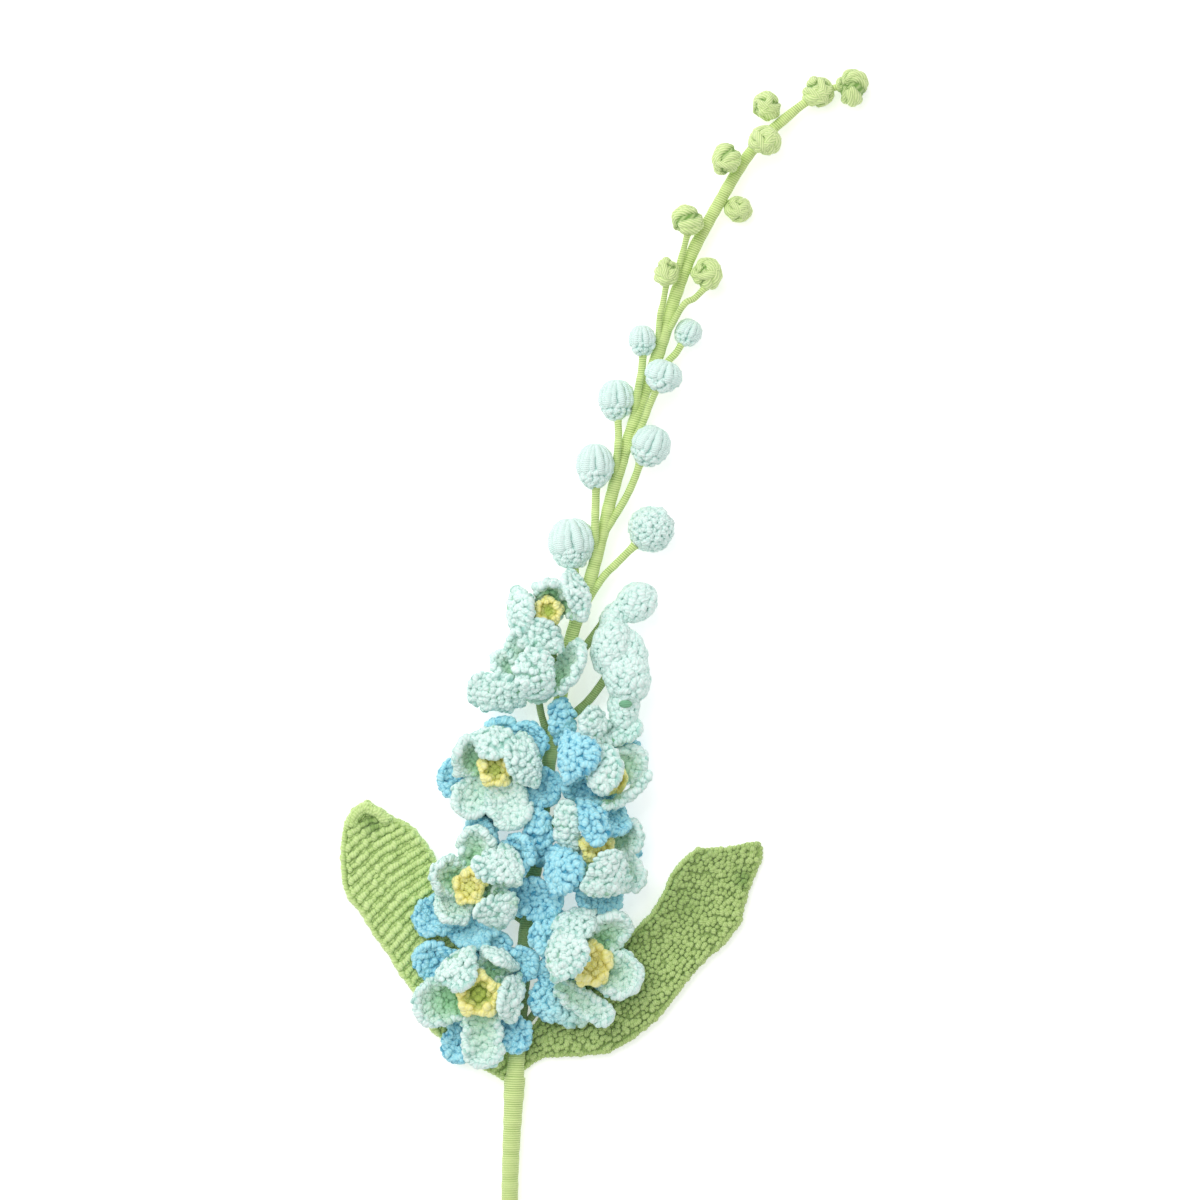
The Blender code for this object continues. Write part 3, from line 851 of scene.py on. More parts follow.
def chain_row(path: Array, pitch: float, slant: float, spread: float) -> tuple[Array, Array]:
    """A row of V-shaped stitches along a flat path.

    Args:
        path: (s, t) points of the row's middle line.
        pitch: from one stitch to the next.
        slant: how far each leg of a V turns from the row, in radians.
        spread: how far each leg lies from the middle line.

    Returns:
        The legs' places, as (s, t) rows, and their headings.
    """
    length = path_length(path)
    count = max(int(round(length / pitch)), 1)
    places = (np.arange(count) + 0.5) * length / count
    middle = along_path(path, places)
    ahead = unit(along_path(path, np.minimum(places + 0.1 * MM, length)) - along_path(path, places - 0.1 * MM))
    across = np.stack([-ahead[:, 1], ahead[:, 0]], axis=1)
    heading = np.arctan2(ahead[:, 1], ahead[:, 0])
    spots = np.concatenate([middle + spread * across, middle - spread * across])
    return spots, np.concatenate([heading + slant, heading - slant])


# ---


@dataclass(frozen=True)
class Gauge:
    """The size of the stitches of a piece, in metres."""

    pitch: float = 3.5 * MM
    row: float = 3.2 * MM
    length: float = 5.3 * MM
    width: float = 3.55 * MM
    height: float = 2.9 * MM
    slant: float = math.radians(34)
    spread: float = 0.85 * MM

    @property
    def size(self) -> tuple[float, float, float]:
        """A leg's length, width and height."""
        return self.length, self.width, self.height


FLOWER_GAUGE = Gauge()


@dataclass(frozen=True)
class Petal:
    """One petal. Its turn round the flower is in degrees, its tip in pixels, and its sizes in mm.

    roll turns it about the line from its base to its tip, and cup is the angle that its sides curl through from the
    middle line to the edge, both in degrees. inner_dye says how much painted shade its inside has, green on the mint
    petals and darker on the blue sepals, and fade how much of its tip has the second dye.
    """

    turn: float
    tip: Pixel
    lift: float
    width: float
    arch: float
    roll: float = 0.0
    cup: float = 44.0
    inner_dye: float = 1.0
    fade: float = 0.0
    base: PixelLift | None = None


class PetalSurface(Surface):
    """The middle surface of a petal, from its flower's disc (s = 0) to its tip."""

    widest_at = 0.58
    base_share = 0.46
    crumple = 0.75 * MM
    ruffle = 1.2 * MM

    def __init__(self, petal: Petal, hub: Array, axes: Array, ring_radius: float) -> None:
        """Works out the petal's curve.

        Args:
            petal: the petal.
            hub: the middle of its flower's disc.
            axes: the flower's axis, and the two directions across it.
            ring_radius: where petals start, from the axis.
        """
        axis, right, across = axes
        turn = math.radians(petal.turn)
        outward = math.cos(turn) * right + math.sin(turn) * across
        self.base = hub + ring_radius * outward if petal.base is None else PLANE.point(*petal.base)
        self.tip = PLANE.point(*petal.tip, petal.lift)
        chord = unit(self.tip - self.base)
        across_petal = np.cross(axis, outward)
        across_petal = unit(across_petal - (across_petal @ chord) * chord)
        away = np.cross(across_petal, chord)
        roll = math.radians(petal.roll)
        away = math.cos(roll) * away + math.sin(roll) * across_petal
        self.side = np.cross(chord, away)
        self.control = (self.base + self.tip) / 2 + 2 * petal.arch * MM * away
        self.half = petal.width * MM / 2
        self.bend = self.half / math.radians(petal.cup)
        self.length = path_length(self._curve(np.linspace(0, 1, 33))[0])
        self.phase = math.radians(3.1 * petal.turn + 7.0 * petal.tip[0])

    def _curve(self, v: Array) -> tuple[Array, Array]:
        """The middle line's points and the ways ahead, at shares v of its length."""
        v = v[:, None]
        point = (1 - v) ** 2 * self.base + 2 * v * (1 - v) * self.control + v**2 * self.tip
        ahead = unit((1 - v) * (self.control - self.base) + v * (self.tip - self.control))
        return point, ahead

    def reach(self, v: Array) -> Array:
        """Half the petal's width at shares v of its length."""
        rise = math.pi / 2 * np.clip(v / self.widest_at, 0, 1)
        rising = self.base_share + (1 - self.base_share) * np.sin(rise)
        past = np.clip((v - self.widest_at) / (1 - self.widest_at), 0, 1)
        wavy = 1 + 0.05 * np.sin(11 * v + self.phase)
        return self.half * rising * wavy * (1 - past**2.6) ** (1 / 2.5)

    def _puckers(self, s: Array, t: Array) -> Array:
        """How far the cloth stands off its smooth shape at (s, t): puckers all over, and waves along its edges."""
        sway = 1.4 * np.sin(2 * math.pi * t / (9 * MM) + self.phase)
        puckers = np.sin(2 * math.pi * s / (6.4 * MM) + sway) * np.cos(2 * math.pi * t / (7.4 * MM) + 1.7 * self.phase)
        waves = np.sin(2 * math.pi * s / (10 * MM) + 2 * self.phase + np.sign(t)) * np.clip(t / self.half, -1, 1) ** 2
        return (self.crumple * puckers + self.ruffle * waves) * np.clip(s / (5 * MM), 0, 1)

    def at(self, s: Array, t: Array) -> Array:
        """The points at (s, t)."""
        v = np.clip(s / self.length, -0.1, 1.05)
        point, ahead = self._curve(v)
        outside = np.cross(self.side, ahead)
        angle = (t / self.bend)[:, None]
        drop = self.bend * (1 - np.cos(angle))
        off = self._puckers(s, t)[:, None] * (np.cos(angle) * outside + np.sin(angle) * self.side)
        return point + self.bend * np.sin(angle) * self.side - drop * outside + off

    def outline(self, inset: float) -> Array:
        """The petal's outline as (s, t) points, drawn in by a distance from its rim."""
        v = 1 - np.linspace(0.97, 0.0, 24) ** 2
        s = v * (self.length - inset)
        t = self.reach(v) * (1 - inset / self.half)
        left, right = np.stack([s, -t], axis=1), np.stack([s, t], axis=1)[::-1]
        return np.concatenate([left, right[1:]])

    def cupped(self, s: Array, t: Array) -> Array:
        """How deep in the petal's cup (s, t) lies: 1 at its foot, and 0 towards its rim."""
        v = s / self.length
        return np.clip(1.15 - v / 0.8, 0, 1) ** 0.7 * (1 - 0.8 * np.clip(np.abs(t) / self.half, 0, 1) ** 2)

    def faded(self, s: Array, petal: Petal) -> Array:
        """How much of the second dye the petal has at s from its fading end, which is its base when fade is less than 0."""
        v = s / self.length
        return abs(petal.fade) * (v**2 if petal.fade > 0 else (1 - v) ** 1.5)

    def body(self, thickness: float, petal: Petal, inner_dye: float) -> Patch:
        """The petal's cloth, as one closed surface under its stitches."""
        v = np.concatenate([np.sin(np.linspace(0.0, 1.0, 12) * math.pi / 2)[:-1], [0.994]])
        turns = 2 * math.pi * np.arange(16) / 16
        rings, dyes_and_shade = [], []
        for share in v:
            reach = float(self.reach(np.array([share]))[0])
            past = max((share - self.widest_at) / (1 - self.widest_at), 0.0)
            half_thick = thickness / 2 * math.sqrt(max(1 - past**6, 0.02))
            t = reach * np.cos(turns)
            rise = half_thick * np.sign(np.sin(turns)) * np.abs(np.sin(turns)) ** 0.6
            s = np.full_like(t, share * self.length)
            step = 0.05 * MM
            over_s = unit(self.at(s + step, t) - self.at(s - step, t))
            over_t = unit(self.at(s, t + step) - self.at(s, t - step))
            rings.append(self.at(s, t) - rise[:, None] * unit(np.cross(over_s, over_t)))
            # Painted shade, green as light bounced in the cup: the cloth inside is greener towards its foot.
            green = inner_dye * self.cupped(s, t) * (np.sin(turns) < -0.1)
            dyes_and_shade.append(np.clip(green + self.faded(s, petal), 0, 1))
        return skin(np.array(rings), 3.0 * MM, second=np.array(dyes_and_shade), crevice=0.6)


@dataclass
class PetalRing:
    """A ring of petals that is crocheted in one piece round its disc."""

    name: str
    hub: Array
    axes: Array
    petals: Sequence[Petal]
    yarn: Yarn
    gauge: Gauge = FLOWER_GAUGE
    ring_radius: float = 4.4 * MM
    disc_radius: float = 6.4 * MM
    thickness: float = 1.9 * MM
    width_gain: float = 1.07
    # inner_dye scales the painted green shade inside the cups, and inner_shade the painted darkening there.
    inner_dye: float = 1.0
    inner_shade: float = 0.12

    def build(self, bench: Workbench) -> bpy.types.Object:
        """Makes the ring and puts it in the frame."""
        cloth, loops = [self._disc()], Loops()
        self._disc_loops(loops)
        for petal in self.petals:
            wide = replace(petal, width=petal.width * self.width_gain)
            surface = PetalSurface(wide, self.hub, self.axes, self.ring_radius)
            cloth.append(surface.body(self.thickness, petal, self.inner_dye * petal.inner_dye))
            self._rows(bench, loops, surface, petal)
        return bench.crocheted(self.name, cloth, loops, self.yarn, self.name)

    def _disc(self) -> Patch:
        """The cloth of the ring's disc."""
        axis, right, across = self.axes
        angles = (2 * math.pi * np.arange(14) / 14)[:, None]
        outward = np.cos(angles) * right + np.sin(angles) * across
        profile = ((0.7, -1.0), (0.97, -0.7), (1.05, 0.0), (0.97, 0.7), (0.7, 1.0))
        rings = [
            self.hub + share * self.disc_radius * outward + rise * 1.2 * MM * axis for share, rise in profile
        ]
        # The disc gets some of the painted green cup shade.
        return skin(np.array(rings), 3.0 * MM, second=0.3 * self.inner_dye, crevice=0.5)

    def _disc_loops(self, loops: Loops) -> None:
        """The disc's own stitches, on its back and its front."""
        axis, right, across = self.axes
        for radius, count in ((0.45 * self.disc_radius, 6), (0.85 * self.disc_radius, 11)):
            angles = (2 * math.pi * np.arange(count) / count)[:, None]
            outward = np.cos(angles) * right + np.sin(angles) * across
            around = -np.sin(angles) * right + np.cos(angles) * across
            for side in (-1.0, 1.0):
                places = self.hub + radius * outward + side * 1.1 * MM * axis
                # The disc's loops get some of the painted green cup shade.
                loops.add(places, unit(around + 0.5 * outward), side * axis, self.gauge.size, 0.3 * self.inner_dye)

    def _rows(self, bench: Workbench, loops: Loops, surface: PetalSurface, petal: Petal) -> None:
        """A petal's rows of stitches, which follow its outline, on both sides and along its rim."""
        gauge = self.gauge
        for side in (-1.0, 1.0):
            surface.flip = side
            inset = 0.55 * gauge.row
            while inset < surface.half:
                if surface.half - inset < 0.5 * gauge.row:
                    path = np.array([[0.1 * surface.length, 0.0], [surface.length - inset, 0.0]])
                else:
                    path = surface.outline(inset)
                spots, heading = chain_row(path, gauge.pitch, gauge.slant, gauge.spread)
                count = len(spots)
                s = spots[:, 0] + bench.stray(count, 0.45 * MM)
                t = spots[:, 1] + bench.stray(count, 0.45 * MM)
                heading = heading + bench.stray(count, 0.6)
                second, hollow = surface.faded(s, petal), 0.0
                # Inside each cup: painted green shade on the mint ring, and painted darkening, both towards its foot.
                if side > 0:
                    cupped = petal.inner_dye * surface.cupped(s, t)
                    second, hollow = second + self.inner_dye * cupped, self.inner_shade * cupped
                lift = self.thickness / 2 - 0.15 * MM + bench.stray(count, 0.3 * MM)
                surface.lay(loops, s, t, heading, gauge.size, lift, np.clip(second, 0, 1), hollow)
                inset += gauge.row
        rim, inside = surface.outline(0.0), surface.outline(0.8 * MM)
        count = max(int(round(path_length(rim) / (0.85 * gauge.pitch))), 1)
        shares = (np.arange(count) + 0.5) / count
        edge = along_path(rim, shares * path_length(rim))
        near = along_path(inside, shares * path_length(inside))
        places = surface.at(edge[:, 0], edge[:, 1])
        outwards = unit(places - surface.at(near[:, 0], near[:, 1]))
        along = unit(np.gradient(places, axis=0))
        across = np.cross(along, outwards)
        lean = np.where(np.arange(count) % 2 == 0, 0.4, -0.15)[:, None] + bench.stray(count, 0.15)[:, None]
        second = surface.faded(edge[:, 0], petal)
        size = (0.95 * gauge.length, 1.35 * gauge.width, 1.1 * gauge.height)
        loops.add(places - 0.5 * MM * outwards, unit(along + lean * across), outwards, size, second)


@dataclass
class Centre:
    """A flower's yellow middle: a small cup of thick stitches with five lobes round its mouth."""

    name: str
    hub: Array
    axes: Array
    radius: float
    green: float
    height: float = 6.0 * MM
    lobes: int = 5

    def build(self, bench: Workbench) -> bpy.types.Object:
        """Makes the cup and puts it in the frame."""
        axis, right, across = self.axes
        foot = self.hub + 1.8 * MM * axis
        angles = (2 * math.pi * np.arange(20) / 20)[:, None]
        outward = np.cos(angles) * right + np.sin(angles) * across
        profile = ((0.45, 0.0, 0.0), (0.8, 0.25, 0.0), (0.98, 0.7, 0.0), (0.86, 0.95, 0.0), (0.62, 0.7, 0.6),
                   (0.4, 0.4, 1.0))  # fmt: skip
        rings = [foot + share * self.radius * outward + rise * self.height * axis for share, rise, _ in profile]
        dye = np.array([[self.green * green] * 20 for *_, green in profile])
        cloth = [skin(np.array(rings), 3.0 * MM, second=dye, crevice=0.3)]
        loops = Loops()
        self._ring(bench, loops, foot, 0.62, 0.22, 8, 0.0, (4.6, 3.4, 3.0))
        self._ring(bench, loops, foot, 0.5, 0.62, 6, 0.6 * self.green, (4.6, 3.6, 2.8), inwards=True)
        self._ring(bench, loops, foot, 0.2, 0.45, 4, self.green, (4.4, 3.8, 2.8), inwards=True)
        grow = (self.radius / (8.5 * MM)) ** 0.6
        for lobe in range(self.lobes):
            middle = 2 * math.pi * (lobe + 0.25) / self.lobes
            for offset, reach, rise in ((-0.3, 0.86, 0.85), (0.3, 0.84, 0.8), (0.0, 1.0, 0.6), (0.05, 0.7, 1.02)):
                angle = middle + offset + float(bench.stray(1, 0.12)[0])
                out = math.cos(angle) * right + math.sin(angle) * across
                around = -math.sin(angle) * right + math.cos(angle) * across
                place = foot + reach * self.radius * out + rise * self.height * axis
                along = unit(around + (0.4 if offset == 0 else -0.7 * np.sign(offset)) * out + 0.2 * axis)
                size = np.array([5.2, 4.2, 3.8]) * MM * grow
                loops.add(place[None], along, unit(out + 0.9 * axis), size, 0.0)
        return bench.crocheted(self.name, cloth, loops, Yarn.YELLOW, self.name, unevenness=0.16)

    def _ring(
        self, bench: Workbench, loops: Loops, foot: Array, share: float, rise: float, count: int, second: float,
        size: tuple[float, float, float], inwards: bool = False,
    ) -> None:  # fmt: skip
        """Adds a ring of stitches to the cup's wall."""
        axis, right, across = self.axes
        angles = (2 * math.pi * np.arange(count) / count + bench.stray(count, 0.12))[:, None]
        outward = np.cos(angles) * right + np.sin(angles) * across
        around = -np.sin(angles) * right + np.cos(angles) * across
        places = foot + share * self.radius * outward + rise * self.height * axis
        facing = unit((-0.6 if inwards else 1.0) * outward + (0.9 if inwards else 0.3) * axis)
        loops.add(places, unit(around + 0.45 * axis), facing, np.array(size) * MM, second)


def flower_axes(facing: Sequence[float]) -> Array:
    """The flower's axis, and the two directions across it from which its petals' turns are counted."""
    axis = unit(np.asarray(facing, float))
    right = np.array([1.0, 0.0, 0.0])
    right = unit(right - (right @ axis) * axis)
    return np.array([axis, right, np.cross(axis, right)])


@dataclass
class Flower:
    """An open flower: mint petals, blue sepals behind them where it has any, and a yellow middle."""

    name: str
    hub: PixelLift
    facing: tuple[float, float, float]
    petals: tuple[Petal, ...]
    sepals: tuple[Petal, ...] = ()
    centre_radius: float = 8.0
    green: float = 1.0
    sepals_behind: float = 4.4 * MM

    def build(self, bench: Workbench) -> None:
        """Makes the flower's pieces."""
        axes = flower_axes(self.facing)
        hub = PLANE.point(*self.hub)
        PetalRing(f"{self.name}_petals", hub, axes, self.petals, Yarn.MINT).build(bench)
        if self.sepals:
            behind = hub - self.sepals_behind * axes[0]
            PetalRing(
                f"{self.name}_sepals", behind, axes, self.sepals, Yarn.BLUE, inner_dye=0.0, inner_shade=0.35
            ).build(bench)
        Centre(f"{self.name}_centre", hub, axes, self.centre_radius * MM, self.green).build(bench)


# ---


class LumpSurface(Surface):
    """An egg-shaped surface. s runs from its foot to its crown, and t round it."""

    def __init__(self, middle: Array, width: float, length: float, lean: float, depth: float | None = None) -> None:
        """Takes the middle, the sizes in metres and the lean in the picture's plane in degrees."""
        angle = math.radians(lean)
        self.middle = middle
        self.along = np.array([math.sin(angle), math.cos(angle), 0.0])
        self.side = np.array([math.cos(angle), -math.sin(angle), 0.0])
        self.up = np.array([0.0, 0.0, 1.0])
        self.radius, self.depth, self.half = width / 2, (depth or width) / 2, length / 2
        self.girth = math.pi * (self.radius + self.depth)
        self.run = math.pi * math.sqrt((self.radius**2 + self.half**2) / 2)

    def at(self, s: Array, t: Array) -> Array:
        """The points at (s, t)."""
        climb = (math.pi * s / self.run)[:, None]
        around = (2 * math.pi * t / self.girth)[:, None]
        ring = np.sin(climb) * (self.radius * np.cos(around) * self.side + self.depth * np.sin(around) * self.up)
        return self.middle - self.half * np.cos(climb) * self.along + ring

    def body(self, sides: int = 18, rings: int = 12) -> Patch:
        """The cloth or stuffing under the stitches."""
        climbs = (np.arange(rings) + 0.5) / rings * self.run
        around = np.arange(sides) / sides * self.girth
        grid = np.array([self.at(np.full(sides, climb), around) for climb in climbs])
        return skin(grid, 3.0 * MM, crevice=0.7)

    def shade(self, patch: Patch, level: float, steepness: float) -> None:
        """Darkens a patch where it lies deeper than the surface, whose own level is 1."""
        frame = np.array([self.side, self.along, self.up])
        depth = np.linalg.norm((patch.points - self.middle) @ frame.T / [self.radius, self.half, self.depth], axis=1)
        patch.crevice = np.clip((level - depth) * steepness, 0, 1)

    def rows(
        self, bench: Workbench, loops: Loops, start: float, end: float, gauge: Gauge, second: float = 0.0
    ) -> None:
        """Lays rows of V-shaped stitches round the lump between two shares of its run."""
        count = max(int(round((end - start) * self.run / gauge.row)), 1)
        for row in range(count):
            s_row = (start + (row + 0.5) / count * (end - start)) * self.run
            circle = self.girth * math.sin(math.pi * s_row / self.run)
            stitches = max(int(round(circle / gauge.pitch)), 3)
            t = (np.arange(stitches) + 0.5 * (row % 2)) / stitches * self.girth
            for leg in (-1.0, 1.0):
                stray_s, stray_t = bench.stray(stitches, 0.5 * MM), bench.stray(stitches, 0.5 * MM)
                heading = math.pi / 2 + leg * gauge.slant + bench.stray(stitches, 0.55)
                s = s_row + leg * gauge.spread + stray_s
                lift = 0.1 * MM + bench.stray(stitches, 0.45 * MM)
                self.lay(loops, s, t + stray_t, heading, gauge.size, lift, second)


def stem_at(y: float) -> tuple[float, float]:
    """The stem's pixel column and its lift in mm at a pixel row."""
    rows = np.array(STEM_LINE)[::-1]
    return float(np.interp(y, rows[:, 1], rows[:, 0])), float(np.interp(y, rows[:, 1], rows[:, 2]))


@dataclass
class Pedicel:
    """A wired stalk wound with yarn, which widens to the bud or flower that it holds and ends on the stem."""

    name: str
    marks: Sequence[PixelLift]
    width: float
    flare: float = 1.0
    flare_length: float = 0.3
    reach: float = 0.0
    sides: int = 12
    # Painted shade along the stalk, for where it lies under the flowers.
    dark: float = 0.0

    def patch(self) -> Patch:
        """Its surface, with the yarn's turns one beside the other."""
        marks = [*self.marks]
        if self.reach:
            x, y, _ = marks[-1]
            stem_x, _ = stem_at(y)
            end_x, lift = stem_at(y + self.reach)
            marks.append((end_x + 0.2 * (x - stem_x), y + self.reach, lift + 0.6))
        points = PLANE.path(marks)
        points = np.concatenate([[points[0] + 2.0 * MM * unit(points[0] - points[1])], points])
        path = spline(points, 8)
        places = np.linspace(0, 1, len(path))
        flare = 1 + (self.flare - 1) * np.clip(1 - places / self.flare_length, 0, 1) ** 1.5
        return Winding().bar(path, self.width * MM / 2 * flare, self.sides, self.dark)

    def build(self, bench: Workbench) -> bpy.types.Object:
        """Makes it as a piece of its own."""
        return bench.wound(self.name, [self.patch()], Yarn.PEDICEL, self.name)


@dataclass
class MintBud:
    """A stuffed mint bud: long stitches gathered at its crown, and rows of short ones round its foot."""

    number: int
    middle: PixelLift
    width: float
    length: float
    lean: float
    pedicel: Sequence[PixelLift]
    pedicel_width: float
    ridges: int = 15
    crown_share: float = 0.4

    def build(self, bench: Workbench) -> None:
        """Makes the bud and its pedicel."""
        name = f"mint_bud_{self.number}"
        surface = LumpSurface(
            PLANE.point(*self.middle), (self.width - 2.0) * MM, (self.length - 2.0) * MM, self.lean
        )
        loops, cloth = Loops(), [surface.body()]
        gauge = Gauge(pitch=3.1 * MM, row=2.8 * MM, length=4.0 * MM, width=2.8 * MM, height=2.6 * MM)
        surface.rows(bench, loops, 0.08, self.crown_share, gauge)
        girth = surface.radius * 2 * math.pi / self.ridges
        for ridge in range(self.ridges):
            t0 = ridge / self.ridges * surface.girth
            shares = np.linspace(self.crown_share - 0.05, 0.97, 12)
            sway = 0.012 * surface.girth * np.sin(np.linspace(0, 3, 12) + ridge * 1.7)
            path = surface.at(shares * surface.run, t0 + sway)
            swell = np.sin(math.pi * shares) ** 0.75 * np.clip((shares - self.crown_share + 0.1) * 9, 0.35, 1)
            swell = swell * (1 + 0.14 * np.sin(np.arange(12) * 2.4 + ridge * 2.1)) * (1 + 0.18 * math.sin(ridge * 2.7))
            cloth.append(tube(path, 0.6 * girth * np.maximum(swell, 0.12), 7, 2.6 * MM))
            surface.shade(cloth[-1], 1.12, 2.2)
        obj = bench.crocheted(name, cloth, loops, Yarn.MINT, name)
        Pedicel(f"{name}_pedicel", self.pedicel, self.pedicel_width, flare=1.55, reach=30).build(bench)


@dataclass
class GreenBud:
    """A green bud: thick bands of wound yarn that meet in a knot, round a small ball."""

    number: int
    middle: PixelLift
    width: float
    length: float
    lean: float
    knot: tuple[float, float, float]
    bands: int = 7
    swirl: float = 0.9
    pedicel: Sequence[PixelLift] = ()
    pedicel_width: float = 3.2
    crossings: int = 3

    def build(self, bench: Workbench) -> None:
        """Makes the bud and, where it has one, its pedicel."""
        name = f"green_bud_{self.number}"
        middle = PLANE.point(*self.middle)
        surface = LumpSurface(middle, (self.width - 1.5) * MM, (self.length - 1.5) * MM, self.lean)
        core = LumpSurface(middle, 0.78 * self.width * MM, 0.78 * self.length * MM, self.lean)
        pole = unit(np.array(self.knot, float))
        first = unit(np.cross(pole, [0.31, 0.12, 0.94]))
        other = np.cross(pole, first)
        cloth = [core.body()]
        stretch = np.array([surface.radius, surface.half, surface.depth])
        thick = 0.4 * float(stretch.mean()) * 6.4 / self.bands
        starts = bench.stray(self.bands, 0.05) + 0.12
        for band in range(self.bands):
            polar = np.linspace(0.02 if band % 3 == 0 else starts[band], 0.93, 14) * math.pi
            turn = 2 * math.pi * band / self.bands + self.swirl * np.cos(polar) + 0.25 * math.sin(band * 2.3)
            way = (
                np.cos(polar)[:, None] * pole
                + np.sin(polar)[:, None] * (np.cos(turn)[:, None] * first + np.sin(turn)[:, None] * other)
            )
            bulge = 0.8 + 0.07 * math.sin(band * 1.9)
            path = middle + bulge * (
                (way @ surface.side)[:, None] * surface.side * stretch[0]
                + (way @ surface.along)[:, None] * surface.along * stretch[1]
                + (way @ surface.up)[:, None] * surface.up * stretch[2]
            )
            swell = np.maximum(np.sin(polar) ** 0.5, 0.62)
            radii = thick * swell * (1 + 0.1 * np.sin(np.arange(14) * 1.7 + band * 1.3))
            cloth.append(tube(path, radii, 12, 1.25 * MM, crevice=0.05))
        for cross in range(self.crossings):
            spin = 2.4 * cross + 0.9 * self.number
            hub = unit(np.array([math.cos(spin), math.sin(spin), 0.35 + 0.5 * math.sin(1.7 * cross + self.number)]))
            near = unit(np.cross(hub, [0.2, 0.1, 1.0]))
            far = np.cross(near, hub)
            reach = np.linspace(-1.15, 1.0, 14)[:, None]
            sign = 1.0 if far[2] > 0 else -1.0
            way = unit(np.cos(reach) * far * sign + np.sin(reach) * near + 0.35 * hub)
            path = middle + 0.93 * (way @ np.array([surface.side, surface.along, surface.up]).T * stretch) @ np.array(
                [surface.side, surface.along, surface.up]
            )
            swell = 0.55 + 0.4 * np.cos(1.2 * reach[:, 0]) + 0.05 * np.sin(np.arange(14) * 1.9 + cross)
            cloth.append(tube(path, 0.8 * thick * swell, 12, 1.25 * MM))
        for patch in cloth:
            surface.shade(patch, 1.06, 3.4)
        bench.wound(name, cloth, Yarn.GREEN_BUD, name)
        if self.pedicel:
            Pedicel(f"{name}_pedicel", self.pedicel, self.pedicel_width, flare=1.4, reach=30).build(bench)


@dataclass
class HalfOpenFlower:
    """A half-open mint flower seen from behind, as overlapping stuffed lobes, with its pedicel."""

    name: str
    lobes: tuple[tuple[PixelLift, float, float, float, float], ...]
    pedicel: Sequence[PixelLift]
    pedicel_width: float = 4.2
    # Dark patches of painted shade that fill the flower's open hollows.
    hollows: tuple[tuple[PixelLift, float, float, float], ...] = ()

    def build(self, bench: Workbench) -> None:
        """Makes the flower and its pedicel."""
        cloth, loops = [], Loops()
        for middle, width, length, lean, depth in self.lobes:
            surface = LumpSurface(
                PLANE.point(*middle), (width - 1.6) * MM, (length - 1.6) * MM, lean, (depth - 1.6) * MM
            )
            cloth.append(surface.body())
            surface.rows(bench, loops, 0.04, 0.96, FLOWER_GAUGE)
        # Painted shade: a dark patch fills each hollow.
        for middle, width, length, lean in self.hollows:
            hollow = LumpSurface(PLANE.point(*middle), width * MM, length * MM, lean, 3 * MM).body()
            hollow.second[:] = 0.8
            hollow.crevice[:] = 1.0
            cloth.append(hollow)
        bench.crocheted(self.name, cloth, loops, Yarn.MINT, self.name)
        # The pedicel gets painted shade, as it lies among the flowers.
        Pedicel(f"{self.name}_pedicel", self.pedicel, self.pedicel_width, flare=1.3, reach=16, dark=0.55).build(
            bench
        )


# ---


class LeafSurface(Surface):
    """A leaf between its two edges. s runs from its tip to its foot, and t from its left edge to its right."""

    def __init__(self, left: Sequence[Pixel], right: Sequence[Pixel], height: float, crown: float) -> None:
        """Takes the edges in pixels from the tip to the foot, its height off the table and its crown, in metres."""
        self.left = PLANE.path([(x, y, 0.0) for x, y in left])
        self.right = PLANE.path([(x, y, 0.0) for x, y in right])
        self.height, self.crown = height, crown
        self.length = (path_length(self.left) + path_length(self.right)) / 2
        samples = np.linspace(0, 1, 60)
        widths = np.linalg.norm(self._edge(self.right, samples) - self._edge(self.left, samples), axis=1)
        self.widths = widths
        self.half = float(widths.max()) / 2

    @staticmethod
    def _edge(edge: Array, share: Array) -> Array:
        """Points of an edge at shares of its length."""
        return along_path(edge, np.clip(share, 0, 1) * path_length(edge))

    def width(self, share: Array) -> Array:
        """The leaf's width at shares of its length."""
        return np.interp(share, np.linspace(0, 1, 60), self.widths)

    def at(self, s: Array, t: Array) -> Array:
        """The points at (s, t)."""
        share = np.clip(s / self.length, 0, 1)
        width = np.maximum(self.width(share), 0.1 * MM)
        across = np.clip(t / width + 0.5, 0, 1)[:, None]
        point = (1 - across) * self._edge(self.left, share) + across * self._edge(self.right, share)
        bow = (2 * across[:, 0] - 1) ** 2
        point[:, 2] = self.height + self.crown * bow * np.sin(math.pi * np.clip(share, 0.02, 0.98))
        return point


class Rows(Enum):
    """Which way a leaf's rows of stitches run."""

    ACROSS = "across"
    LENGTHWISE = "lengthwise"


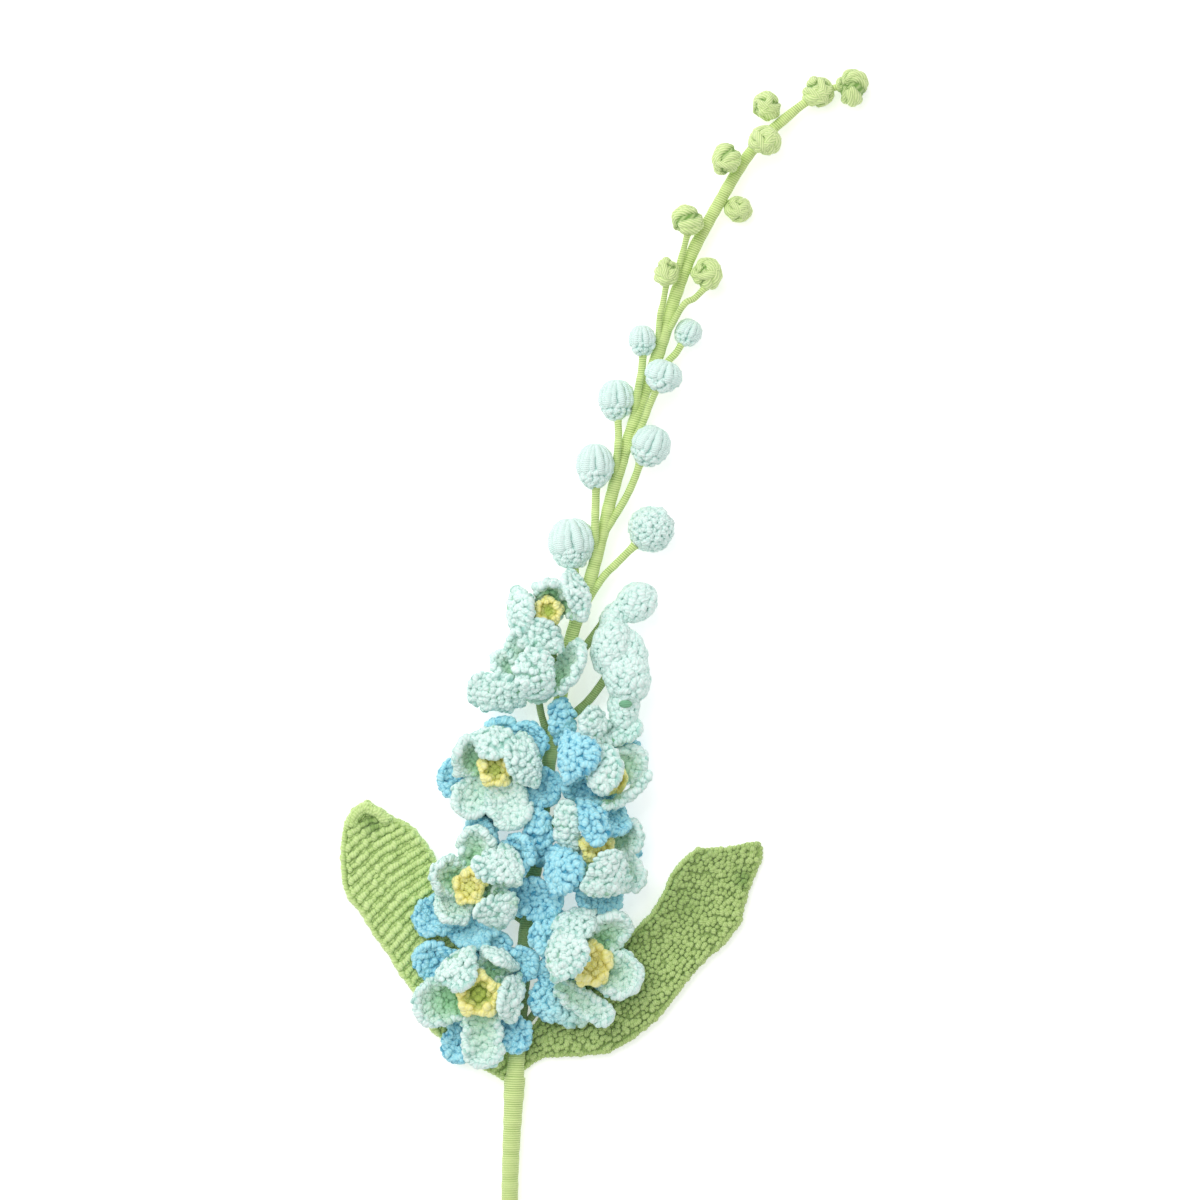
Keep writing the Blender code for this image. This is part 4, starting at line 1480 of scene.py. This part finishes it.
@dataclass
class Leaf:
    """A crocheted leaf: a thin closed cloth, and the stitches on both of its sides and round its rim.

    tilts are the slopes of its rows at the tip and at the foot, left of the middle and then right of it.
    """

    name: str
    left: tuple[Pixel, ...]
    right: tuple[Pixel, ...]
    yarn: Yarn
    rows: Rows
    row_gap: float
    pitch: float
    loop: tuple[float, float, float]
    valley: tuple[float, float, float] | None
    tilts: tuple[float, float, float, float]
    flat: tuple[float, float]
    crown: float
    roll: tuple[PixelLift, ...] = ()
    # Painted shade: darker in the folds and along one side of the leaf.
    folds: tuple[tuple[Pixel, float, float], ...] = ()
    dark_side: float = 0.0
    scatter: float = 0.2
    thickness: float = 1.5 * MM
    height: float = 2.7 * MM

    def build(self, bench: Workbench) -> None:
        """Makes the leaf's cloth and its stitches."""
        surface = LeafSurface(self.left, self.right, self.height, self.crown)
        ground = mesh_object(self.name, [self._cloth(surface)])
        ground.data.materials.append(bench.yarns[self.yarn])
        bench.finish_piece(ground, self.yarn, self.name)
        loops, cloth = Loops(), []
        for side in (1.0, -1.0):
            surface.flip = side
            self._stitches(bench, loops, surface, side)
        self._rim(bench, loops, surface)
        if self.roll:
            path = spline(PLANE.path(self.roll), 6)
            swell = np.sin(np.linspace(0.25, math.pi - 0.25, len(path)))
            cloth.append(tube(path, 2.0 * MM * swell, 12, 3.0 * MM, crevice=0.4))
            places = along_path(path, np.arange(1.0 * MM, path_length(path) - 1.0 * MM, 1.6 * MM))
            ahead = unit(np.gradient(places, axis=0))
            across = np.cross([0.0, 0.0, 1.0], ahead)
            for lean in (-0.95, 0.0, 0.95):
                outwards = unit(np.array([0.0, 0.0, math.cos(lean)]) + math.sin(lean) * across)
                turned = ahead + bench.stray(len(places), 0.5)[:, None] * across
                loops.add(places + 1.5 * MM * outwards, turned, outwards, np.array(self.loop) * MM)
        stitches = bench.crocheted(f"{self.name}_stitches", cloth, loops, self.yarn, self.name)

    def _cloth(self, surface: LeafSurface) -> Patch:
        """The closed sheet under the stitches."""
        shares = np.concatenate([[0.004], np.linspace(0.02, 0.99, 40)])
        turns = 2 * math.pi * np.arange(20) / 20
        rings = []
        for share in shares:
            width = float(surface.width(np.array([share]))[0])
            t = 0.49 * width * np.cos(turns)
            rise = self.thickness / 2 * np.sign(np.sin(turns)) * np.abs(np.sin(turns)) ** 0.5
            ring = surface.at(np.full_like(t, share * surface.length), t)
            ring[:, 2] += rise
            rings.append(ring)
        return skin(np.array(rings), 3.0 * MM, crevice=0.55)

    def _stitches(self, bench: Workbench, loops: Loops, surface: LeafSurface, side: float) -> None:
        """Rows of stitches over one side of the leaf, each rib with a lower row in the valley beside it."""
        long_way = self.rows is Rows.LENGTHWISE
        extent = 2 * surface.half if long_way else surface.length + 2 * surface.half
        start = -surface.half if long_way else -surface.half
        other = surface.length if long_way else 2 * surface.half
        for row in range(int(extent / self.row_gap) + 1):
            for part, loop in ((0.0, self.loop), (0.5, self.valley)):
                if loop is None:
                    continue
                run = np.arange(0.0, other, self.pitch) + (row % 2 + part) * self.pitch / 2
                line = start + (row + 0.5 + part) * self.row_gap
                if long_way:
                    s, t = run, np.full_like(run, line)
                    heading = np.zeros_like(run)
                else:
                    t = run - surface.half
                    down = np.clip(line / surface.length, 0, 1)
                    left, right = (self.tilts[i] * (1 - down) + self.tilts[i + 1] * down for i in (0, 2))
                    s = line - np.where(t < 0, left, right) * t
                    heading = math.pi / 2 + np.arctan(np.where(t < 0, left, right))
                share = s / surface.length
                room = surface.width(np.clip(share, 0, 1)) / 2 - 1.3 * MM
                inside = (share > 0.012) & (share < 0.985) & (np.abs(t) < room)
                s, t, heading = s[inside], t[inside], heading[inside]
                count = len(s)
                if not count:
                    continue
                heading = heading + np.where(np.arange(count) % 2 == 0, 0.6, -0.1) + bench.stray(count, self.scatter)
                s = s + bench.stray(count, self.scatter * MM)
                t = t + bench.stray(count, self.scatter * MM)
                lift = self.thickness / 2 + (0.3 if part == 0 else -0.45) * MM + bench.stray(count, 0.2 * MM)
                if side < 0:
                    lift = np.minimum(lift, 0.6 * MM)
                # Painted shade from the folds and the shaded side.
                second = self._dark(surface, s, t)
                surface.lay(loops, s, t, heading, np.array(loop) * MM, lift, second)

    def _dark(self, surface: LeafSurface, s: Array, t: Array) -> Array:
        """How much of the darker second colour is painted in at (s, t) as shade: along the leaf's shaded side, and in
        its folds.
        """
        across = t / np.maximum(surface.width(s / surface.length), MM) + 0.5
        dark = self.dark_side * np.clip(0.95 - 1.4 * across, 0, 1)
        points = surface.at(s, t)
        for pixel, radius, depth in self.folds:
            gap = np.linalg.norm((points - PLANE.point(*pixel, 0.0))[:, :2], axis=1) / (radius * MM)
            dark = dark + depth * np.exp(-(gap**2))
        return np.clip(dark, 0, 1)

    def _rim(self, bench: Workbench, loops: Loops, surface: LeafSurface) -> None:
        """The chain of stitches round the leaf's edge."""
        count = int(surface.length / (0.9 * self.pitch))
        s = (np.arange(count) + 0.5) / count * surface.length
        for sign in (-1.0, 1.0):
            width = surface.width(s / surface.length) / 2
            places = surface.at(s, sign * width)
            inner = surface.at(s, sign * np.maximum(width - 0.8 * MM, 0.0))
            outwards = unit(unit(places - inner) + np.array([0.0, 0.0, 0.35]))
            along = unit(np.gradient(places, axis=0))
            lean = np.where(np.arange(count) % 2 == 0, 0.35, -0.15)[:, None] + bench.stray(count, 0.1)[:, None]
            size = np.array([1.15 * self.loop[0], 1.1 * self.loop[1], 1.1 * self.loop[2]]) * MM
            loops.add(places - 0.6 * MM * outwards, unit(along + lean * [0.0, 0.0, 1.0]), outwards, size)


@dataclass
class Stem:
    """The main stem: wire wound with yarn, with the open flowers' pedicels bound in."""

    line: tuple[tuple[float, float, float, float], ...]
    joins: dict[str, tuple[PixelLift, ...]]
    tip: tuple[tuple[float, float, float, float], ...]
    join_width: float = 3.6
    sides: int = 18

    def build(self, bench: Workbench) -> None:
        """Makes the stem as one piece."""
        marks = PLANE.path([(x, y, lift) for x, y, lift, _ in (*self.line, *self.tip)])
        radii = np.array([radius for *_, radius in (*self.line, *self.tip)]) * MM
        rows = spline(np.concatenate([marks, radii[:, None]], axis=1), 8)
        patches = [Winding().bar(rows[:, :3], rows[:, 3], self.sides, self._shade(rows))]
        for marks_of_join in self.joins.values():
            # The bound-in pedicels get painted shade, as they lie under the flowers.
            patches.append(Pedicel("", marks_of_join, self.join_width, dark=0.7).patch())
        bench.wound("stem_wrap", patches, Yarn.STEM, "stem_wrap")

    def _shade(self, rows: Array) -> Array:
        """Painted shade along the stem: darkest among the flowers, which shadow it."""
        y = rows[:, 1]
        low, high = PLANE.point(0, 1062, 0)[1], PLANE.point(0, 730, 0)[1]
        return 0.75 * np.clip((y - low) / (10 * MM), 0, 1) * np.clip((high - y) / (20 * MM), 0, 1)


# The spike's measures.

STEM_LINE = (
    (509.0, 1330, 4.1, 4.1), (509.6, 1200, 4.1, 4.1), (511.0, 1150, 4.3, 4.3), (513.0, 1110, 4.8, 4.7),
    (514.6, 1080, 5.4, 5.3), (515.0, 1075, 5.4, 4.4), (517.0, 1050, 5.3, 4.2), (521.5, 985, 5.6, 4.0),
    (530.0, 900, 6.2, 3.9), (541.0, 820, 7.0, 3.8), (552.0, 740, 8.2, 3.6), (560.0, 700, 9.0, 3.4),
    (570.6, 640, 10.0, 3.3), (590.0, 580, 10.6, 3.3), (601.0, 540, 10.8, 3.0), (610.5, 500, 10.8, 3.1),
    (622.0, 460, 10.4, 3.1), (634.6, 420, 10.0, 3.0), (649.0, 380, 9.6, 3.1), (662.5, 340, 9.2, 3.3),
    (674.0, 300, 8.8, 3.2), (691.0, 255, 8.4, 3.1), (716.0, 208, 8.2, 3.0), (742.0, 164, 8.2, 2.9),
    (763.0, 138, 8.2, 2.7), (788.0, 116, 8.3, 2.5), (803.0, 104, 8.4, 2.1),
)  # fmt: skip
STEM_TIP = ((814.0, 98, 8.0, 2.0), (829.0, 89, 7.8, 1.6), (842.0, 86, 7.8, 1.7))

JOINS = {
    "flower_a": ((560, 700, 9.4), (555, 668, 10.4), (551, 636, 11.2), (549.5, 616, 12.6)),
    "flower_b": ((549, 748, 7.9), (545, 728, 9.4), (541, 713, 11.6), (539, 700.5, 15.2)),
    "flower_e": ((545, 812, 7.1), (524, 800, 7.2), (506, 784, 7.4), (497, 774, 7.8)),
    "flower_f": ((537, 850, 6.8), (556, 818, 7.0), (579, 792, 8.0), (596.5, 778.5, 13.0)),
    "flower_g": ((527, 925, 6.0), (510, 912, 6.0), (494, 898, 6.4), (482, 889, 8.6)),
    "flower_h": ((530.5, 897, 6.3), (552, 880, 6.6), (573, 862, 7.0), (588, 850, 8.0)),
    "flower_i": ((518, 1032, 5.4), (504, 1015, 6.0), (491, 1001, 6.8), (484, 995, 7.4)),
    "flower_j": ((518, 1035, 5.4), (541, 1005, 6.0), (562, 977, 6.6), (578, 965, 8.4)),
}

GREEN_BUDS = (
    GreenBud(1, (852.5, 87, 7.8), 15.6, 18.6, 8, (-0.5, 0.1, 0.7), 8, 0.5, crossings=0),
    GreenBud(2, (818.5, 92, 7.7), 15.4, 15.6, 40, (0.1, 0.6, 0.6), 7, 1.3),
    GreenBud(3, (766.5, 106, 9.0), 14.0, 14.6, 30, (-0.9, -0.3, 0.3), 7, 0.8),
    GreenBud(4, (764.5, 142, 18.8), 14.6, 13.8, 20, (-0.3, 0.0, 0.9), 6, 1.1),
    GreenBud(5, (726.0, 160, 15.8), 13.4, 17.0, 12, (-0.3, -0.7, 0.6), 7, 0.8, crossings=1),
    GreenBud(6, (738.0, 209, 6.4), 12.6, 12.6, 0, (0.1, 0.1, 0.9), 6, 1.2),
    GreenBud(
        7, (687.0, 221, 15.6), 15.6, 14.8, 0, (-0.8, -0.6, 0.2), 7, 0.5,
        ((686.5, 238, 14.0), (683.5, 250, 12.6), (680, 262, 12.4)), 3.0, 0,
    ),
    GreenBud(
        8, (666.5, 273, 15.2), 12.0, 13.6, 0, (0.3, 0.5, 0.7), 6, 1.2,
        ((666, 286, 13.4), (663, 303, 12.0), (659.5, 318, 12.8)), 3.0, 2,
    ),
    GreenBud(
        9, (707.0, 274, 12.4), 13.8, 15.4, 15, (-0.4, 0.2, 0.8), 6, 1.1,
        ((703, 290, 13.2), (694, 299, 14.4), (683, 306, 15.2)), 3.2, 1,
    ),
)  # fmt: skip

MINT_BUDS = (
    MintBud(1, (642.0, 340, 13.6), 12.6, 15.4, 0, ((643, 354, 12.4), (641.5, 372, 13.2), (638.5, 387, 14.2)), 3.8),
    MintBud(2, (688.5, 332, 8.4), 12.6, 14.2, 30, ((682, 343, 8.8), (676, 353, 9.0), (667, 363, 9.2)), 3.6),
    MintBud(3, (663.0, 376.5, 21.0), 17.0, 15.8, 20, ((656, 391, 17.6), (649, 407, 15.9), (642, 425, 15.6)), 3.4),
    MintBud(4, (616.5, 399.5, 10.6), 16.6, 20.2, 0, ((618, 419, 11.4), (618.5, 436, 12.8), (617.5, 450, 15.0)), 3.6),
    MintBud(5, (650.5, 446, 15.2), 17.4, 20.6, 25, ((639, 466, 13.4), (634, 480, 12.2), (624.5, 500, 12.0)), 3.8),
    MintBud(6, (595.0, 466, 15.6), 17.0, 22.2, 0, ((596, 488, 14.2), (595.5, 508, 13.2), (595, 526, 15.4)), 4.0),
    MintBud(7, (571.5, 543, 12.8), 20.6, 24.8, -5, ((574, 568, 12.2), (575.5, 577, 12.0), (577, 583, 11.6)), 4.4),
    MintBud(8, (651.0, 529, 11.5), 21.8, 21.4, 50, ((632, 548, 10.8), (616, 564, 10.8), (602, 578.5, 10.7)), 3.8,
            ridges=9, crown_share=0.86),
)  # fmt: skip

HALF_OPEN_FLOWERS = (
    HalfOpenFlower(
        "flower_c",
        (((636.5, 602, 14.0), 17.5, 20.0, 50, 16.0), ((617, 614, 13.8), 11.0, 19.0, 50, 11.0)),
        ((603.5, 622, 13.0), (594, 635, 10.6), (582, 651, 8.6)),
    ),
    HalfOpenFlower(
        "flower_d",
        (
            ((611.5, 648, 17.0), 19.0, 27.5, 10, 17.5),
            ((627.0, 676, 18.0), 21.5, 26.0, -20, 18.0),
            ((623.5, 706, 14.5), 14.0, 24.0, 0, 14.5),
            ((631, 652, 14.5), 14.5, 22.0, -20, 15.0),
        ),
        ((605, 679, 12.0), (590, 699, 10.2), (572, 716, 9.4)),
        hollows=(((625.5, 703.5, 22.3), 6.5, 3.8, 0),),
    ),
)

FLOWERS = (
    Flower(
        "flower_a", (549, 611, 17.0), (-0.05, 0.0, 1.0),
        (
            Petal(180, (533, 611), 30, 21, 12.5),
            Petal(92, (554, 583), 29, 15, 3, inner_dye=1.3),
            Petal(8, (565, 590), 30, 25, 12, base=(558, 604, 17)),
            Petal(262, (541, 619), 29, 20, 15),
        ),
        (), 6.5,
    ),
    Flower(
        "flower_b", (538, 692, 18.0), (-0.1, 0.8, 0.6),
        (
            Petal(268, (534, 649), 32, 17.5, 7),
            Petal(8, (582, 645), 24, 22, 5),
            Petal(178, (469, 690), 15, 18.5, 4, roll=100),
            Petal(140, (496, 653), 15, 14, 4, inner_dye=1.3),
            Petal(100, (514, 634), 12, 13, 3),
        ),
        (), 5.0, 0.2,
    ),
    Flower(
        "flower_e", (495, 770, 15.5), (0.05, 0.1, 1.0),
        (
            Petal(170, (461, 745), 26, 18.5, 7, inner_dye=1.0),
            Petal(95, (493, 757), 29, 17, 14),
            Petal(15, (507, 762), 32, 25, 15.5),
            Petal(232, (460, 812), 19, 17.5, 4, inner_dye=0.35),
            Petal(288, (518, 826), 22, 19.5, 2.5, inner_dye=0.05),
        ),
        (
            Petal(88, (505, 719), 13, 15, 5, inner_dye=0.3),
            Petal(42, (541, 730), 17, 18, 4, inner_dye=0.6),
            Petal(332, (560, 793), 14, 18, 1.5),
            Petal(195, (440, 783), 11, 20, 4),
            Petal(255, (484, 832), 7, 17, 3),
        ),
        8.0, 0.8,
    ),
    Flower(
        "flower_f", (606, 778, 18.0), (0.7, -0.05, 0.7),
        (
            Petal(100, (590, 708), 24, 16, 4, roll=180, base=(594, 752, 17)),
            Petal(60, (641, 724), 16, 12, 2, roll=85, base=(604, 742, 14)),
            Petal(0, (642, 752), 14, 16, 4),
            Petal(300, (650, 771), 27, 8, 4, base=(600, 807, 26)),
            Petal(185, (619, 757), 37, 23, 11),
        ),
        (
            Petal(90, (560, 700), 19, 10.5, 3, roll=150, base=(563, 744, 10)),
            Petal(180, (599, 752), 42, 22, 18, base=(600, 759, 26)),
            Petal(228, (564, 789), 18, 14, 4),
            Petal(282, (620, 832), 24, 17, 4, inner_dye=1.7),
            Petal(30, (636, 742), 7, 15, 3),
        ),
        7.0, 0.1,
    ),
    Flower(
        "flower_g", (475, 887, 15.5), (-0.4, 0.1, 0.9),
        (
            Petal(100, (477, 827), 22, 17, 5, inner_dye=1.3),
            Petal(168, (436, 867), 23, 18, 5, inner_dye=1.2),
            Petal(222, (440, 913), 20, 18, 6, inner_dye=0.3),
            Petal(20, (475, 867), 35, 19, 20),
            Petal(332, (477, 906), 30, 19, 16.5),
        ),
        (
            Petal(38, (529, 841), 25, 18, 5),
            Petal(215, (416, 926), 10, 18, 4),
            Petal(262, (466, 947), 12, 26, 4, inner_dye=0.1),
            Petal(100, (480, 818), 12, 16, 4),
            Petal(348, (562, 903), 18, 17, 1, inner_dye=1.8),
        ),
        8.5, 0.4,
    ),
    Flower(
        "flower_h", (593, 847, 16.0), (0.3, 0.1, 0.95),
        (
            Petal(90, (567, 800), 28, 11, 4, roll=140, base=(571, 850, 17)),
            Petal(15, (641, 832), 16, 17, 4),
            Petal(275, (611, 849), 35, 23, 19),
            Petal(318, (641, 884), 18, 17, 5),
            Petal(78, (601, 828), 21, 11, 1.5),
        ),
        (
            Petal(270, (597, 843), 35, 12, 6, roll=180, base=(584, 797, 18)),
            Petal(180, (583, 866), 32, 22, 17, base=(585, 874, 16)),
            Petal(90, (537, 808), 18, 11.5, 4, roll=170, base=(542, 866, 10)),
            Petal(275, (606, 917), 14, 21, 4, inner_dye=0.3),
            Petal(345, (638, 850), 9, 15, 3),
        ),
        8.0, 0.2,
    ),
    Flower(
        "flower_i", (480, 992, 16.5), (-0.12, -0.05, 1.0),
        (
            Petal(195, (415, 1007), 18, 22, 5, inner_dye=1.5),
            Petal(128, (469, 984), 30, 20, 16),
            Petal(64, (498, 958), 30, 17, 13),
            Petal(345, (501, 993), 30, 21, 13),
            Petal(278, (484, 1066), 16, 18, 3, inner_dye=0.7),
        ),
        (
            Petal(150, (417, 951), 10, 18, 4),
            Petal(84, (497, 931), 14, 19, 4),
            Petal(26, (534, 954), 17.5, 16, 4),
            Petal(310, (525, 1048), 12.5, 15, 2),
            Petal(248, (452, 1062), 7, 15, 3),
        ),
        10.5,
    ),
    Flower(
        "flower_j", (586, 963, 16.0), (0.42, 0.0, 0.9),
        (
            Petal(172, (588, 951), 36, 23, 16),
            Petal(100, (583, 935), 33, 20, 18),
            Petal(52, (624, 916), 21, 17, 5, inner_dye=1.3),
            Petal(338, (640, 980), 17, 21, 4, inner_dye=0.7),
            Petal(325, (611, 1019), 18, 11, 4, inner_dye=0.6, base=(556, 982, 20)),
        ),
        (
            Petal(160, (532, 994), 14, 18, 3, roll=180, fade=-1.3, base=(592, 1014, 8)),
            Petal(140, (533, 926), 21, 15, 4, roll=180, base=(563, 952, 12)),
            Petal(198, (540, 976), 14, 15, 2),
            Petal(110, (546, 905), 17, 9.5, 3, roll=180, base=(562, 934, 10)),
            Petal(345, (630, 985), 8, 15, 3),
        ),
        10.5, 0.12,
    ),
)  # fmt: skip

LEAVES = (
    Leaf(
        "leaf_left",
        ((367, 804), (352, 812), (344, 831), (342, 860), (344, 886), (350, 899), (363, 914), (374, 934),
         (389, 953), (400, 973), (414, 990), (421, 1010), (431, 1029), (445, 1040), (465, 1055), (483, 1068),
         (503, 1078)),
        ((367, 804), (389, 819), (411, 829), (422, 842), (431, 855), (436, 866), (450, 905), (468, 950),
         (486, 1000), (506, 1044), (510, 1077)),
        Yarn.LEFT_LEAF, Rows.ACROSS, 4.8 * MM, 2.5 * MM, (4.4, 3.5, 3.2), (3.4, 2.3, 1.5), (0.5, 0.4, 0.25, 0.3),
        (0.050, 0.165), 1.5 * MM, ((351, 826, 4.4), (355, 815, 5.4), (366, 808, 6.0), (378, 813, 5.8), (388, 822, 4.6)),
        (((372, 825), 4.5, 0.9),),
    ),
    Leaf(
        "leaf_right",
        ((758, 844), (744, 846), (726, 850), (697, 850), (684, 861), (672, 875), (665, 893), (652, 915),
         (629, 936), (603, 960), (572, 985), (544, 1014), (524, 1040), (520, 1066)),
        ((758, 844), (762, 850), (761, 860), (750, 885), (742, 910), (740, 923), (722, 946), (706, 959), (686, 981),
         (669, 1004), (656, 1020), (633, 1038), (610, 1052), (585, 1055), (543, 1057), (522, 1070)),
        Yarn.RIGHT_LEAF, Rows.LENGTHWISE, 2.3 * MM, 2.45 * MM, (3.1, 2.9, 2.8), None, (0.0, 0.0, 0.0, 0.0),
        (0.052, 0.180), 3.0 * MM, folds=(((744, 880), 5.0, 0.9), ((690, 905), 9.0, 0.25)), dark_side=0.35,
        scatter=0.75,
    ),
)  # fmt: skip


@dataclass
class Studio:
    """A pale floor, soft light and the camera straight over the spike."""

    camera_height: float = 3.0
    focus_height: float = 10.0 * MM
    sensor: float = 36.0
    middle: Pixel = (600.0, 600.0)
    floor_size: float = 6.0

    def build(self) -> None:
        """Makes the floor, the lights and the camera."""
        self._camera()
        self._floor()
        self._light("key light", (-0.9, 1.1, 1.9), 2.0, 33.0)
        world = bpy.data.worlds.new("studio")
        world.use_nodes = True
        world.node_tree.nodes["Background"].inputs[0].default_value = (1.0, 1.0, 1.0, 1.0)
        world.node_tree.nodes["Background"].inputs[1].default_value = 0.62
        bpy.context.scene.world = world
        bpy.context.scene.view_settings.view_transform = "Standard"

    def _camera(self) -> None:
        """The camera, which takes in the photograph's span at the spike's own height."""
        camera = bpy.data.objects.new("camera", bpy.data.cameras.new("camera"))
        bpy.context.scene.collection.objects.link(camera)
        distance = self.camera_height - self.focus_height
        camera.data.sensor_width = self.sensor
        camera.data.lens = self.sensor * distance / PLANE.span
        camera.data.clip_end = 20.0
        x, y, _ = PLANE.point(*self.middle, 0.0)
        camera.location = (x, y, self.camera_height)
        bpy.context.scene.camera = camera

    def _floor(self) -> None:
        """The plain pale floor."""
        mesh = bpy.data.meshes.new("floor")
        half = self.floor_size / 2
        mesh.from_pydata([(-half, -half, 0), (half, -half, 0), (half, half, 0), (-half, half, 0)], [], [(0, 1, 2, 3)])
        floor = bpy.data.objects.new("floor", mesh)
        bpy.context.scene.collection.objects.link(floor)
        kit = ShaderKit("pale floor")
        speck = kit.noise(40.0, 2.0)
        colour = kit.mix(speck, opaque((0.86, 0.86, 0.86)), opaque((0.88, 0.88, 0.88)))
        kit.tree.links.new(colour, kit.shader.inputs["Base Color"])
        kit.shader.inputs["Roughness"].default_value = 0.9
        kit.shader.inputs["Emission Color"].default_value = (1.0, 1.0, 1.0, 1.0)
        kit.shader.inputs["Emission Strength"].default_value = 0.42
        mesh.materials.append(kit.material)

    def _light(self, name: str, place: tuple[float, float, float], size: float, power: float) -> None:
        """A square area light that looks at the spike."""
        data = bpy.data.lights.new(name, "AREA")
        data.size, data.energy = size, power
        light = bpy.data.objects.new(name, data)
        light.location = place
        light.rotation_euler = Vector(place).to_track_quat("Z", "Y").to_euler()
        bpy.context.scene.collection.objects.link(light)


def dress_wire(frame: dict[str, object]) -> None:
    """Gives the CAD wire inside the stem its finish."""
    wire = frame["nodes"]["stem_wire"]
    wire.data.materials.clear()
    wire.data.materials.append(WireFinish().material())


def main() -> None:
    """Builds the spike round the frame, then the studio."""
    logging.basicConfig(level=logging.INFO, format="%(name)s: %(message)s")
    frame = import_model()
    Studio().build()
    bench = Workbench(
        LoopTree(),
        {yarn: finish.material() for yarn, finish in FINISHES.items()},
        np.random.default_rng(SEED),
    )
    Stem(STEM_LINE, JOINS, STEM_TIP).build(bench)
    dress_wire(frame)
    for part in (*LEAVES, *GREEN_BUDS, *MINT_BUDS, *HALF_OPEN_FLOWERS, *FLOWERS):
        part.build(bench)
    bench.loops.put_away()
    faces = sum(len(obj.data.polygons) for obj in bpy.data.objects if obj.type == "MESH")
    LOG.info("%d pieces, %d faces in all", bench.pieces, faces)


if __name__ == "__main__":
    main()
